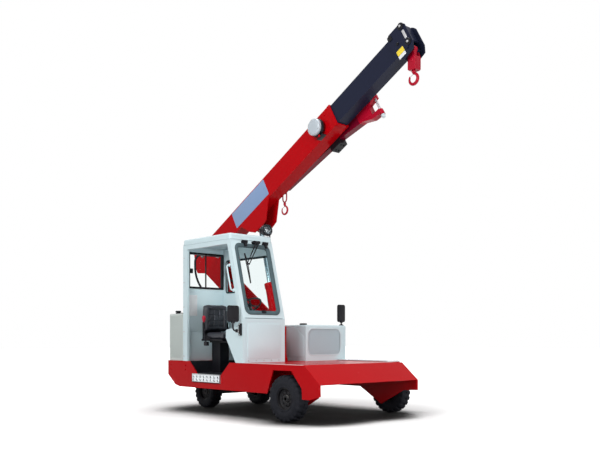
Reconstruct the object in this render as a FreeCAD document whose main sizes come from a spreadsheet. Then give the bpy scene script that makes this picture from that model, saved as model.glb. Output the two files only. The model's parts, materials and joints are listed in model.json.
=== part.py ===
"""Pick and carry crane: chassis with a fixed leaning mast, a two-stage boom and an open-sided cab.

Vehicle axes: X forward from the front axle, Y left from the centre plane, Z up from the ground.
Boom axes: S along the boom and N square to it, both from the boom's pivot.
Every size is a cell of the sheet, and every piece is bound to those cells by expressions.
"""
import FreeCAD, Part
import math
import os
import Sketcher
from FreeCAD import Placement, Rotation, Vector

doc = FreeCAD.newDocument("PickAndCarryCrane")
sheet = doc.addObject("Spreadsheet::Sheet", "dims")

# ---------------------------------------------------------------- driving dimensions, mm
SIZES = {
    # where the vehicle stands in its own bounding box
    "front_axle_x": 1007.8, "centre_plane_y": 104.5,
    # wheels
    "front_tyre_od": 600, "front_tyre_width": 190, "front_rim_r": 140, "track_out": 1074,
    "rear_tyre_od": 500, "rear_tyre_width": 190, "rear_rim_r": 125, "rear_wheel_y": 500,
    "wheelbase": 2400, "kingpin_y": 330, "kingpin_r": 32, "lug_depth": 14,
    "tyre_facets": 28,
    # chassis
    "deck_z": 730, "deck_t": 8, "skirt_y": 1057, "skirt_t": 16, "skirt_bottom_z": 350,
    "tail_over": 263, "nose_top_x": 366, "nose_lip_x": 646, "nose_lip_z": 500,
    "frame_y": 790, "frame_t": 25, "frame_bottom_z": 366, "bracket_z": 139, "arch_r": 331,
    "door_notch_z": 553, "door_notch_in": 45, "door_notch_front": -1135, "notch_slope": 195,
    "fender_front_x": 100, "leg_bottom_z": 311, "hub_r": 45, "floor_t": 6,
    "ballast_t": 95, "well_gap": 254, "well_front_x": -964, "rake": 14.7, "door_top_z": 2360,
    # mast
    "mast_in_y": 125, "mast_t": 25, "pivot_x": -3050, "pivot_z": 2420,
    "mast_foot_front": -1000, "mast_foot_gap": 450, "mast_knee_x": -1330, "mast_low_z": 400,
    # boom
    "boom_angle": 29.3, "boom_h": 325, "boom_w": 220, "boom_wall": 10, "boom_tail": 220,
    "boom_nose": 3405, "inner_gap": 7, "inner_rear": 900, "inner_nose": 4620, "inner_wall": 8,
    "head_over": 20, "head_l": 300, "head_top": 185, "head_bottom": 240, "head_t": 14,
    "lift_pin_s": 1300, "lift_pin_n": 330, "pin_r": 30,
    # lift cylinder
    "lift_base_x": -1222, "lift_base_z": 620, "barrel_r": 75, "rod_r": 35, "barrel_l": 1300,
    "rod_l": 1570, "rod_eye_w": 130, "slack": 0.3, "fit": 0.05,
    # hooks
    "block_gap": 39.5, "block_h": 230, "jib_tail": 1900, "jib_fork": 3930, "jib_gap": 30, "jib_w": 100,
    # cab
    "cab_right": 1057, "cab_left": 310, "cab_over": 114, "cab_front_x": -840,
    "cab_roof_z": 2510, "roof_t": 90, "cab_wall_t": 36, "cab_sill_z": 1330, "glass_t": 6,
    "seat_y": 680, "seat_gap": 310, "seat_l": 450, "seat_z": 1050, "seat_w": 440,
    "wheel_hub_x": -1170, "wheel_hub_z": 1520, "steering_r": 170, "lamp_r": 85,
    # hood and tank
    "hood_front_x": -910, "hood_in": 63, "hood_in_y": 155, "hood_out_y": 980,
    "hood_top_z": 1258, "hood_t": 5, "mouth_r": 60, "tank_t": 8, "tank_in": 8, "tank_gap": 45,
    "tank_top_z": 1430, "tank_in_y": 360,
    # hose behind the cab
    "hose_r": 16, "hose_in": 40, "hose_out_y": 600, "hose_top_z": 2360, "hose_swing": 500,
}


class Size:
    """A number together with the sheet expression that gives it."""

    def __init__(self, value, text):
        self.value = value
        self.text = text

    def join(self, sign, other, swap=False):
        other = as_size(other)
        first, second = (other, self) if swap else (self, other)
        result = {"+": first.value + second.value, "-": first.value - second.value,
                  "*": first.value * second.value}.get(sign)
        if sign == "/":
            result = first.value / second.value
        return Size(result, "(%s %s %s)" % (first.text, sign, second.text))

    def __add__(self, other):
        return self.join("+", other)

    def __radd__(self, other):
        return self.join("+", other, True)

    def __sub__(self, other):
        return self.join("-", other)

    def __rsub__(self, other):
        return self.join("-", other, True)

    def __mul__(self, other):
        return self.join("*", other)

    def __rmul__(self, other):
        return self.join("*", other, True)

    def __truediv__(self, other):
        return self.join("/", other)

    def __neg__(self):
        return Size(-self.value, "(-1 * %s)" % self.text)


def as_size(value):
    """A plain number as a Size."""
    return value if isinstance(value, Size) else Size(float(value), repr(float(value)))


class Dims:
    """The sheet's cells as attributes."""


dim = Dims()
for row, (alias, value) in enumerate(SIZES.items(), start=1):
    sheet.set("A%d" % row, alias.replace("_", " "))
    sheet.set("B%d" % row, str(value))
    sheet.setAlias("B%d" % row, alias)
    setattr(dim, alias, Size(float(value), "dims." + alias))
doc.recompute()

# what follows the rear axle: tail, footwell and door, mast foot, cab, seat, hood, tank and hose
dim.tail_x = -dim.wheelbase - dim.tail_over
dim.well_rear_x = -dim.wheelbase + dim.well_gap
dim.door_notch_rear = dim.well_rear_x + dim.door_notch_in
dim.mast_foot_rear = -dim.wheelbase + dim.mast_foot_gap
dim.cab_rear_x = dim.well_rear_x - dim.cab_over
dim.seat_rear_x = dim.cab_rear_x + dim.seat_gap
dim.seat_front_x = dim.seat_rear_x + dim.seat_l
dim.hood_rear_x = dim.tail_x + dim.hood_in
dim.tank_rear_x = dim.tail_x + dim.tank_in
dim.tank_front_x = dim.cab_rear_x - dim.tank_gap
dim.hose_x = dim.tank_rear_x + dim.hose_in
# what follows the inner boom's nose and the outer boom's side
dim.head_rear = dim.inner_nose - dim.head_over
dim.head_nose = dim.head_rear + dim.head_l
dim.jib_y = dim.boom_w / 2 + dim.jib_gap + dim.jib_w / 2


def cosine(angle):
    return Size(math.cos(math.radians(angle.value)), "cos(%s)" % angle.text)


def sine(angle):
    return Size(math.sin(math.radians(angle.value)), "sin(%s)" % angle.text)


def tangent(angle):
    return Size(math.tan(math.radians(angle.value)), "tan(%s)" % angle.text)


def root(size):
    return Size(math.sqrt(size.value), "sqrt(%s)" % size.text)


def lean_angle(across, up):
    return Size(math.degrees(math.atan(across.value / up.value)), "atan(%s / %s)" % (across.text, up.text))


BOOM_COS = cosine(dim.boom_angle)
BOOM_SIN = sine(dim.boom_angle)


def boom_xz(along, square):
    """Vehicle X and Z of a point given in boom axes."""
    return (dim.pivot_x + along * BOOM_COS - square * BOOM_SIN,
            dim.pivot_z + along * BOOM_SIN + square * BOOM_COS)


def bind(item, name, size):
    size = as_size(size)
    item.setExpression(name, size.text)


def place(item, x=0, y=0, z=0):
    """Puts an item at a point in vehicle axes."""
    base = (dim.front_axle_x + x, dim.centre_plane_y + y, as_size(z))
    item.Placement.Base = Vector(*[size.value for size in base])
    for axis, size in zip("xyz", base):
        bind(item, "Placement.Base." + axis, size)
    return item


def place_on_boom(item, along=0, y=0, square=0):
    """Puts an item at a point in boom axes, turned with the boom."""
    x, z = boom_xz(as_size(along), as_size(square))
    item.Placement.Rotation = Rotation(Vector(0, -1, 0), dim.boom_angle.value)
    place(item, x, y, z)
    bind(item, "Placement.Rotation.Angle", dim.boom_angle)
    return item


# ---------------------------------------------------------------- building helpers
PLANES = {"XY": "XY_Plane", "XZ": "XZ_Plane", "YZ": "YZ_Plane"}
sub_parts = []


def keep(item, label):
    """Marks an item as a sub-part that is written out under its label."""
    item.Label = label
    sub_parts.append(item)
    return item


def new_sketch(body, plane, offset=0):
    """An empty sketch on one of the body's origin planes, moved along the plane's normal."""
    sketch = body.newObject("Sketcher::SketchObject", "outline")
    support = [item for item in body.Origin.OriginFeatures if item.Role == PLANES[plane]][0]
    sketch.AttachmentSupport = [(support, "")]
    sketch.MapMode = "FlatFace"
    offset = as_size(offset)
    sketch.AttachmentOffset = Placement(Vector(0, 0, offset.value), Rotation())
    bind(sketch, "AttachmentOffset.Base.z", offset)
    return sketch


def draw_loop(sketch, corners):
    """A closed chain of lines whose corners are bound to their sizes."""
    corners = [(as_size(u), as_size(v)) for u, v in corners]
    points = [Vector(u.value, v.value, 0) for u, v in corners]
    first = sketch.GeometryCount
    count = len(points)
    for index in range(count):
        sketch.addGeometry(Part.LineSegment(points[index], points[(index + 1) % count]))
    for index in range(count):
        follower = first + (index + 1) % count
        sketch.addConstraint(Sketcher.Constraint("Coincident", first + index, 2, follower, 1))
    for index, (u, v) in enumerate(corners):
        for kind, size in (("DistanceX", u), ("DistanceY", v)):
            number = sketch.addConstraint(
                Sketcher.Constraint(kind, -1, 1, first + index, 1, size.value))
            sketch.setExpression("Constraints[%d]" % number, size.text)


def draw_circle(sketch, u, v, radius):
    u, v, radius = as_size(u), as_size(v), as_size(radius)
    number = sketch.addGeometry(Part.Circle(Vector(u.value, v.value, 0), Vector(0, 0, 1), radius.value))
    for kind, size in (("DistanceX", u), ("DistanceY", v)):
        constraint = sketch.addConstraint(Sketcher.Constraint(kind, -1, 1, number, 3, size.value))
        sketch.setExpression("Constraints[%d]" % constraint, size.text)
    constraint = sketch.addConstraint(Sketcher.Constraint("Radius", number, radius.value))
    sketch.setExpression("Constraints[%d]" % constraint, radius.text)


def new_body(name):
    return doc.addObject("PartDesign::Body", name)


def pad(body, plane, start, thickness, loops, circles=()):
    """Pads loops from start to start + thickness along the plane's axis (X, Y or Z)."""
    start, thickness = as_size(start), as_size(thickness)
    offset = -(start + thickness) if plane == "XZ" else start
    sketch = new_sketch(body, plane, offset)
    for loop in loops:
        draw_loop(sketch, loop)
    for circle in circles:
        draw_circle(sketch, *circle)
    feature = body.newObject("PartDesign::Pad", "pad")
    feature.Profile = sketch
    bind(feature, "Length", thickness)
    return feature


def round_corners(body, radius, chosen):
    """Rounds the body's edges for which chosen(direction, middle point) is true, in body axes."""
    doc.recompute()
    base = body.Tip
    names = []
    for number, edge in enumerate(base.Shape.Edges, start=1):
        if not isinstance(edge.Curve, Part.Line):
            continue
        middle = (edge.Vertexes[0].Point + edge.Vertexes[-1].Point) * 0.5
        if chosen(edge.Curve.Direction, middle):
            names.append("Edge%d" % number)
    feature = body.newObject("PartDesign::Fillet", "rounding")
    feature.Base = (base, names)
    bind(feature, "Radius", radius)
    return feature


def plate(label, plane, start, thickness, outline, openings=(), circles=()):
    """A flat plate with its openings, standing in vehicle axes."""
    body = new_body(label)
    pad(body, plane, start, thickness, [outline] + list(openings), circles)
    place(body)
    return keep(body, label)


def block(x0, x1, y0, y1, z0, z1):
    """A box between two corners in vehicle axes."""
    item = doc.addObject("Part::Box", "block")
    for name, low, high in (("Length", x0, x1), ("Width", y0, y1), ("Height", z0, z1)):
        bind(item, name, as_size(high) - low)
    return place(item, x0, y0, z0)


AXES = {"X": Rotation(Vector(0, 1, 0), 90), "Y": Rotation(Vector(1, 0, 0), -90), "Z": Rotation()}


def rod(axis, x, y, z, radius, length):
    """A cylinder from a point, along an axis of the vehicle."""
    item = doc.addObject("Part::Cylinder", "rod")
    bind(item, "Radius", radius)
    bind(item, "Height", length)
    item.Placement.Rotation = AXES[axis]
    return place(item, x, y, z)


def boom_block(s0, s1, y0, y1, n0, n1):
    """A box between two corners in boom axes."""
    item = doc.addObject("Part::Box", "block")
    for name, low, high in (("Length", s0, s1), ("Width", y0, y1), ("Height", n0, n1)):
        bind(item, name, as_size(high) - low)
    return place_on_boom(item, s0, y0, n0)


def boom_pin(along, square, y, radius, length):
    """A cylinder along Y at a point in boom axes."""
    x, z = boom_xz(as_size(along), as_size(square))
    return rod("Y", x, y, z, radius, length)


def fuse(label, items):
    item = doc.addObject("Part::MultiFuse", "joined")
    item.Shapes = items
    return keep(item, label) if label else item


def group(label, items):
    """Like pieces that don't touch, kept together in one sub-part."""
    item = doc.addObject("Part::Compound", "set")
    item.Links = items
    return keep(item, label)


def cut(label, base, tools):
    item = doc.addObject("Part::Cut", "cut")
    item.Base = base
    item.Tool = tools[0] if len(tools) == 1 else fuse(None, tools)
    return keep(item, label) if label else item


def rect(u0, u1, v0, v1):
    return [(u0, v0), (u1, v0), (u1, v1), (u0, v1)]


def rounded_rect_body(body, plane, start, thickness, u0, u1, v0, v1, radius):
    """A padded rectangle with rounded corners."""
    pad(body, plane, start, thickness, [rect(u0, u1, v0, v1)])
    normal = {"XY": Vector(0, 0, 1), "XZ": Vector(0, 1, 0), "YZ": Vector(1, 0, 0)}[plane]
    round_corners(body, radius, lambda way, middle: abs(way.dot(normal)) > 0.9)
    return body


# ---------------------------------------------------------------- wheels
def revolve(body, profile):
    """Turns a profile of (distance along the axle, radius) pairs about the body's Y axis."""
    sketch = new_sketch(body, "YZ")
    draw_loop(sketch, profile)
    feature = body.newObject("PartDesign::Revolution", "turned")
    feature.Profile = sketch
    feature.ReferenceAxis = (sketch, ["H_Axis"])
    feature.Angle = 360
    return feature


HALF_FACET = as_size(180) / dim.tyre_facets


def drum(x, z, half, radius):
    """A drum of flat facets about the axle, to half a width on each side."""
    item = doc.addObject("Part::Prism", "drum")
    bind(item, "Polygon", dim.tyre_facets)
    bind(item, "Circumradius", radius / cosine(HALF_FACET))
    bind(item, "Height", half * 2)
    item.Placement.Rotation = AXES["Y"] * Rotation(Vector(0, 0, 1), HALF_FACET.value)
    return place(item, x, -half, z)


def lug_row(x, z, half, base, top, side):
    """Tapered blocks on every second facet, from the middle to one shoulder (side -1 or 1)."""
    width = base * tangent(HALF_FACET) * 2 - 2
    shoulder = half - 16
    wide, narrow = ((-half, 0), (-shoulder, 0)) if side > 0 else ((0, half), (0, shoulder))
    lugs = []
    for facet in range(max(side, 0), int(dim.tyre_facets.value), 2):
        turn = HALF_FACET * (2 * facet)
        lug = doc.addObject("Part::Wedge", "lug")
        for names, low, high in ((("Xmin", "Xmax"), -width / 2, width / 2),
                                 (("X2min", "X2max"), -width / 2, width / 2),
                                 (("Ymin", "Ymax"), base - 45, top),
                                 (("Zmin", "Zmax"), *wide), (("Z2min", "Z2max"), *narrow)):
            bind(lug, names[0], low)
            bind(lug, names[1], high)
        lug.Placement.Rotation = Rotation(Vector(0, 1, 0), turn.value) * Rotation(Vector(1, 0, 0), 90)
        lugs.append(place(lug, x, 0, z))
    return lugs


def tyre_form(x, outer_d, width, rim_r):
    """A tyre in flat facets, stepped at the shoulders, with two rows of lugs half a pitch apart."""
    half = width / 2
    outer = outer_d / 2
    base = outer - dim.lug_depth
    drums = [drum(x, outer, half - inset, radius)
             for inset, radius in ((28, base), (12, base - 16), (2, base - 40))]
    lugs = [lug for row in (-1, 1) for lug in lug_row(x, outer, half, base, outer, row)]
    form = cut(None, fuse(None, drums + lugs), [drum(x, outer, half + 10, rim_r)])
    form.Refine = False
    return form


def moved(label, item, y):
    """The same shape again, moved sideways."""
    copy = group(label, [item])
    bind(copy, "Placement.Base.y", y)
    return copy


def rim(label, x, y, outer_d, width, rim_r, outward):
    """A dished rim: its barrel carries the tyre, its disc bolts to the hub."""
    half = width / 2 - 18
    seat = rim_r - dim.fit
    wall = 9
    disc_out = outward * (half - 42)
    disc_in = outward * (half - 56)
    hub_r = dim.hub_r + dim.fit
    body = new_body(label)
    revolve(body, [(-outward * half, seat - wall), (disc_in, seat - wall), (disc_in, hub_r),
                   (disc_out, hub_r), (disc_out, seat - wall), (outward * half, seat - wall),
                   (outward * half, seat), (-outward * half, seat)])
    place(body, x, y, outer_d / 2)
    return keep(body, label)


def front_wheel_y():
    return dim.track_out - dim.front_tyre_width / 2


def make_wheels():
    """Two driven wheels in front, two smaller steered wheels behind."""
    front_form = tyre_form(0, dim.front_tyre_od, dim.front_tyre_width, dim.front_rim_r)
    rear_form = tyre_form(-dim.wheelbase, dim.rear_tyre_od, dim.rear_tyre_width, dim.rear_rim_r)
    for side, name in ((-1, "right"), (1, "left")):
        y = side * front_wheel_y()
        moved("front_tyre_" + name, front_form, y)
        rim("front_rim_" + name, 0, y, dim.front_tyre_od, dim.front_tyre_width, dim.front_rim_r, side)
        y = side * dim.rear_wheel_y
        moved("rear_tyre_" + name, rear_form, y)
        rim("rear_rim_" + name, -dim.wheelbase, y, dim.rear_tyre_od, dim.rear_tyre_width,
            dim.rear_rim_r, side)


def make_running_gear():
    """Wheel motors on the front brackets, the rear axle on its pivot and the steered knuckles."""
    axle_z = dim.front_tyre_od / 2
    disc_y = front_wheel_y() + dim.front_tyre_width / 2 - 18 - 42
    motors = []
    for side in (-1, 1):
        start = dim.frame_y if side > 0 else -dim.frame_y - 60
        flange = rod("Y", 0, start, axle_z, 105, 60)
        near = dim.frame_y if side > 0 else -disc_y - 20
        spindle = rod("Y", 0, near, axle_z, dim.hub_r, disc_y + 20 - dim.frame_y)
        motors.append(fuse(None, [flange, spindle]))
    group("wheel_motors", motors)

    rear_z = dim.rear_tyre_od / 2
    x = -dim.wheelbase
    beam = block(x - 45, x + 45, -dim.kingpin_y + 42, dim.kingpin_y - 42, rear_z - 45, rear_z + 45)
    ends = [rod("Z", x, side * dim.kingpin_y, rear_z - 60, 50, 120) for side in (-1, 1)]
    bores = [rod("Z", x, side * dim.kingpin_y, rear_z - 80, dim.kingpin_r + dim.fit, 160) for side in (-1, 1)]
    post = block(x - 45, x + 45, -90, 90, rear_z, dim.deck_z - 200)
    head = block(x - 150, x + 150, -170, 170, dim.deck_z - 200, dim.deck_z - 170)
    cut("rear_axle", fuse(None, [beam, post, head] + ends), bores)

    for side, name in ((-1, "right"), (1, "left")):
        pin_y = side * dim.kingpin_y
        web_y = pin_y + side * 62
        lugs = []
        for low in (rear_z - 60 - 5 - 22, rear_z + 60 + 5):
            lugs.append(rod("Z", x, pin_y, low, 48, 22))
            near, far = (pin_y, web_y) if side > 0 else (web_y, pin_y)
            lugs.append(block(x - 40, x + 40, near, far, low, as_size(low) + 22))
        low_y, high_y = (web_y - 8, web_y) if side > 0 else (web_y, web_y + 8)
        web = block(x - 40, x + 40, low_y, high_y, rear_z - 87, rear_z + 87)
        pin = rod("Z", x, pin_y, rear_z - 87, dim.kingpin_r, 174)
        disc_y = dim.rear_wheel_y + dim.rear_tyre_width / 2 - 18 - 42 + 20
        start = web_y if side > 0 else -disc_y
        stub = rod("Y", x, start, rear_z, dim.hub_r, disc_y - dim.kingpin_y - 62)
        fuse("knuckle_" + name, lugs + [web, pin, stub])


# ---------------------------------------------------------------- chassis
def side_outline(nose):
    """The skirt seen from the side, from the tail's top corner round under the body."""
    tail = dim.tail_x
    low = dim.skirt_bottom_z
    return ([(tail, dim.deck_z), (tail, low + 174), (tail + 199, low + 24), (tail + 314, low),
             (-dim.arch_r - 6, low), (113 - dim.arch_r, dim.deck_z - 76)] + nose)


def make_chassis():
    """Skirts outside, frame plates with the wheel brackets inside, deck and nose over them."""
    right_y = -dim.skirt_y
    slope = dim.notch_slope
    nose = [(dim.arch_r - 203, dim.deck_z - 74), (dim.arch_r - 8, dim.skirt_bottom_z + 93),
            (dim.arch_r, dim.leg_bottom_z), (dim.arch_r + 142, dim.leg_bottom_z),
            (dim.nose_lip_x, dim.skirt_bottom_z + 10), (dim.nose_lip_x, dim.nose_lip_z),
            (dim.nose_top_x, dim.deck_z),
            (dim.door_notch_front, dim.deck_z), (dim.door_notch_front - slope, dim.door_notch_z),
            (dim.door_notch_rear + slope, dim.door_notch_z), (dim.door_notch_rear, dim.deck_z)]
    plate("side_skirt_right", "XZ", right_y, dim.skirt_t, side_outline(nose))
    plate("side_skirt_left", "XZ", dim.skirt_y - dim.skirt_t, dim.skirt_t,
          side_outline([(dim.fender_front_x, dim.deck_z - 76), (dim.fender_front_x, dim.deck_z)]))

    rear_top = dim.rear_tyre_od + 32
    under_deck = dim.deck_z - dim.deck_t
    floor_low = dim.door_notch_z - dim.floor_t
    rear_end = dim.tail_x + dim.ballast_t
    low = [(0, dim.bracket_z), (-404, dim.frame_bottom_z), (100 - dim.wheelbase, dim.frame_bottom_z),
           (-dim.wheelbase - 80, rear_top), (rear_end, rear_top), (rear_end, under_deck)]
    fender_end = dim.fender_front_x + 1
    left = new_body("frame_left")
    pad(left, "XZ", dim.frame_y - dim.frame_t, dim.frame_t,
        [[(dim.nose_top_x, dim.deck_z), (dim.nose_lip_x, dim.nose_lip_z),
          (dim.nose_lip_x, dim.skirt_bottom_z + 10), (400, dim.frame_bottom_z - 18)] + low
         + [(fender_end, under_deck), (fender_end, dim.deck_z)]])
    right = new_body("frame_right")
    pad(right, "XZ", -dim.frame_y, dim.frame_t,
        [[(330, under_deck), (330, dim.leg_bottom_z)] + low
         + [(dim.well_rear_x, under_deck), (dim.well_rear_x, floor_low),
            (dim.well_front_x, floor_low), (dim.well_front_x, under_deck)]])

    frame_in = dim.frame_y - dim.frame_t
    beams = [block(-150, 200, -frame_in, frame_in, dim.nose_lip_z, under_deck - 20),
             block(dim.mast_foot_front, dim.mast_foot_front + 120, -frame_in, frame_in,
                   dim.mast_low_z, floor_low),
             block(dim.mast_foot_rear - 90, dim.mast_foot_rear, -frame_in, frame_in,
                   dim.mast_low_z, floor_low),
             block(rear_end, -dim.wheelbase + 160, -frame_in, frame_in, dim.deck_z - 170, under_deck)]
    fuse("chassis_frame", [place(left), place(right)] + beams)

    inner_right = dim.skirt_t - dim.skirt_y
    side_y = dim.skirt_y - dim.skirt_t
    panel_rear = dim.nose_top_x - 24
    plate("nose_panel", "XZ", inner_right, frame_in - inner_right,
          [(dim.nose_top_x, dim.deck_z), (dim.nose_lip_x, dim.nose_lip_z),
           (dim.nose_lip_x - 12, dim.nose_lip_z - 6), (panel_rear, under_deck), (panel_rear, dim.deck_z)])
    foot_rear, foot_front = dim.mast_foot_rear - 1, dim.mast_foot_front + 1
    mast_y = dim.mast_in_y + dim.mast_t + 1
    cab_inner = -dim.cab_left - dim.cab_wall_t
    split = dim.cab_front_x + 5
    plate("deck_plate", "XY", under_deck, dim.deck_t,
          [(dim.tail_x, -side_y), (dim.well_rear_x, -side_y), (dim.well_rear_x, cab_inner),
           (dim.well_front_x, cab_inner), (dim.well_front_x, -side_y), (split, -side_y),
           (split, frame_in), (fender_end, frame_in), (fender_end, side_y), (dim.tail_x, side_y)],
          [rect(foot_rear, foot_front, -mast_y, mast_y)])
    plate("front_deck", "XY", under_deck, dim.deck_t, rect(split, panel_rear, -side_y, frame_in))
    group("counterweight", [
        block(dim.tail_x, rear_end, -side_y, side_y, rear_top - 6, under_deck)])
    step_rear, step_front = dim.door_notch_rear + slope / 2, dim.door_notch_front - slope
    pitch = (step_front - step_rear) / 8
    holes = [(step_rear + pitch * (column + 0.5), dim.door_notch_z - 118 + height, 15)
             for column in range(8) for height in (36, 82)]
    plate("step_plate", "XZ", -dim.skirt_y - 22, 22,
          rect(step_rear, step_front, dim.door_notch_z - 118, dim.door_notch_z), circles=holes)
    group("fender_tread", [
        block(dim.hood_front_x + 12, dim.fender_front_x, dim.frame_y, dim.skirt_y - 6,
              dim.deck_z, dim.deck_z + 14)])
    floor_y = -side_y
    tray = block(dim.well_rear_x, dim.well_front_x, floor_y, cab_inner, floor_low, dim.deck_z)
    hollow = block(dim.well_rear_x + dim.floor_t, dim.well_front_x - dim.floor_t, floor_y - 1,
                   cab_inner - dim.floor_t, dim.door_notch_z, dim.deck_z + 1)
    cut("cab_floor", tray, [hollow])


# ---------------------------------------------------------------- mast
def make_mast():
    """Two leaning plates that carry the boom's pivot, joined by cross plates."""
    fall = 0.70
    shoulder_x = dim.pivot_x + 550
    shoulder_z = dim.pivot_z - 374
    low_z = dim.pivot_z - 307
    foot_front = dim.mast_foot_front
    foot_rear = dim.mast_foot_rear
    knee = dim.mast_knee_x
    outline = [(dim.pivot_x - 252, dim.pivot_z + 60), (dim.pivot_x - 205, low_z + 110),
               (dim.pivot_x - 148, low_z + 17), (dim.pivot_x + 80, low_z),
               (foot_rear, low_z - fall * (foot_rear - dim.pivot_x - 80)), (foot_rear, dim.mast_low_z),
               (foot_front, dim.mast_low_z), (foot_front, dim.deck_z - 15), (knee, dim.deck_z - 15),
               (knee, shoulder_z - fall * (knee - shoulder_x)), (shoulder_x, shoulder_z),
               (shoulder_x - 60, dim.pivot_z), (dim.pivot_x + 250, dim.pivot_z + 100),
               (dim.pivot_x + 120, dim.pivot_z + 215), (dim.pivot_x, dim.pivot_z + 245),
               (dim.pivot_x - 150, dim.pivot_z + 205)]
    plates = []
    for start in (dim.mast_in_y, -dim.mast_in_y - dim.mast_t):
        body = new_body("mast_plate")
        pad(body, "XZ", start, dim.mast_t, [outline],
            [(dim.pivot_x, dim.pivot_z, dim.pin_r + dim.fit),
             (dim.lift_base_x, dim.lift_base_z, dim.pin_r + dim.fit)])
        plates.append(place(body))
    back = new_body("mast_back")
    start_x, end_x = dim.pivot_x + 95, foot_rear
    line = low_z + 6
    pad(back, "XZ", -dim.mast_in_y, dim.mast_in_y * 2,
        [[(start_x, line), (end_x, line - fall * (end_x - start_x)), (end_x, dim.mast_low_z),
          (end_x + 20, dim.mast_low_z), (end_x + 20, line + 22 - fall * (end_x - start_x)),
          (start_x + 12, line + 22)]])
    fuse("mast", plates + [place(back)])
    reach = dim.mast_in_y + dim.mast_t
    keep(rod("Y", dim.pivot_x, -reach - 22, dim.pivot_z, dim.pin_r, (reach + 22) * 2), "boom_pivot_pin")
    keep(rod("Y", dim.lift_base_x, -reach, dim.lift_base_z, dim.pin_r, reach * 2), "lift_base_pin")


# ---------------------------------------------------------------- boom
def make_boom():
    """The outer boom with its pivot boss and lift gusset, and the sliding inner boom with its head."""
    half_h = dim.boom_h / 2
    half_w = dim.boom_w / 2
    outer = boom_block(-dim.boom_tail, dim.boom_nose, -half_w, half_w, -half_h, half_h)
    inside = boom_block(12 - dim.boom_tail, dim.boom_nose + 10, dim.boom_wall - half_w,
                        half_w - dim.boom_wall, dim.boom_wall - half_h, half_h - dim.boom_wall)
    ears = []
    for start in (-half_w, half_w - 18):
        body = new_body("gusset")
        pin_s, pin_n = dim.lift_pin_s, -dim.lift_pin_n
        pad(body, "XZ", start, 18,
            [[(pin_s - 280, -half_h), (pin_s - 150, pin_n - 20), (pin_s - 60, pin_n - 95),
              (pin_s + 120, pin_n - 105), (pin_s + 240, pin_n - 85), (pin_s + 450, -half_h)]])
        place_on_boom(body)
        ears.append(body)
    stub = half_w - dim.rod_eye_w / 2 - dim.slack
    stubs = [boom_pin(dim.lift_pin_s, -dim.lift_pin_n, start, dim.pin_r, stub)
             for start in (-half_w, half_w - stub)]
    bore = boom_pin(0, 0, -half_w - 2, dim.pin_r + dim.fit, dim.boom_w + 4)
    collar = boom_pin(0, 0, dim.boom_wall - half_w, dim.pin_r + 25, dim.boom_w - dim.boom_wall * 2)
    hollow = cut(None, outer, [inside])
    gap = dim.boom_wall + dim.inner_gap
    pad_s = dim.boom_nose - 130
    pad_t = dim.inner_gap - dim.slack
    wear_pads = [boom_block(pad_s, pad_s + 120, -60, 60, start, start + pad_t)
                 for start in (dim.boom_wall - half_h, half_h - dim.boom_wall - pad_t)]
    wear_pads += [boom_block(pad_s, pad_s + 120, start, start + pad_t, -90, 90)
                  for start in (dim.boom_wall - half_w, half_w - dim.boom_wall - pad_t)]
    cut("boom_outer", fuse(None, [hollow, collar] + ears + stubs + wear_pads), [bore])

    inner = boom_block(dim.inner_rear, dim.inner_nose, gap - half_w, half_w - gap, gap - half_h, half_h - gap)
    wall = gap + dim.inner_wall
    bore = boom_block(dim.inner_rear - 10, dim.inner_nose - 30, wall - half_w, half_w - wall,
                      wall - half_h, half_h - wall)
    cut("boom_inner", inner, [bore])

    cheeks = []
    for start in (-half_w - 8, half_w + 8 - dim.head_t):
        body = new_body("cheek")
        pad(body, "XZ", start, dim.head_t,
            [[(dim.head_rear, -half_h + 8), (dim.head_rear + 90, -dim.head_bottom - 25),
              (dim.head_nose - 40, -dim.head_bottom), (dim.head_nose, -dim.head_bottom + 90),
              (dim.head_nose, dim.head_top - 60), (dim.head_nose - 40, dim.head_top),
              (dim.head_rear + 40, dim.head_top), (dim.head_rear, half_h - 8)]])
        place_on_boom(body)
        cheeks.append(body)
    inner_w = half_w + 8 - dim.head_t
    top = boom_block(dim.head_rear, dim.head_nose - 50, -inner_w, inner_w, half_h - gap, dim.head_top)
    front = boom_block(dim.head_nose - 70, dim.head_nose - 50, -inner_w, inner_w, -60, half_h - gap)
    packers = [boom_block(dim.head_rear, dim.inner_nose, start, start + inner_w - half_w + gap, -120, 120)
               for start in (-inner_w, half_w - gap)]
    fuse("boom_head", cheeks + packers + [top, front,
                                boom_pin(dim.head_nose - 100, -dim.head_bottom + 80, -half_w - 20,
                                         20, dim.boom_w + 40)])


# ---------------------------------------------------------------- hooks and jib
def hook_outline(x, z, thick, ring_r, stem):
    """A lifting hook seen from the side: a stem that hangs from (x, z) and an open ring below it."""
    inner_r = ring_r - thick
    middle_z = z - stem - ring_r
    turns = [math.radians(65 - 25 * step) for step in range(12)]
    outer = [(x + ring_r * math.cos(turn), middle_z + ring_r * math.sin(turn)) for turn in turns]
    inner = [(x + inner_r * math.cos(turn), middle_z + inner_r * math.sin(turn)) for turn in turns]
    side = thick * 0.5
    return [(x + side, z)] + outer + inner[::-1] + [(x - side, middle_z + inner_r), (x - side, z)]


def hook_body(x, y, z, thick, ring_r, stem):
    body = new_body("hook")
    thick = as_size(thick)
    pad(body, "XZ", y - thick / 2, thick, [hook_outline(x, z, thick, as_size(ring_r), stem)])
    return place(body)


def make_hook_block():
    """The block that swings on the head's pin and the hook under it."""
    x, z = boom_xz(dim.head_nose - 100, 80 - dim.head_bottom)
    top = z - dim.block_gap
    bottom = top - dim.block_h
    lug = rod("Y", x, -30, z, 42, 60)
    neck = block(x - 30, x + 30, -30, 30, top, z)
    body = block(x - 50, x + 68, -55, 55, bottom, top)
    cut("hook_block", fuse(None, [lug, neck, body]), [rod("Y", x, -40, z, dim.fit + 20, 80)])
    keep(hook_body(x, 0, bottom, 38, 84, 14), "hook")


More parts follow.
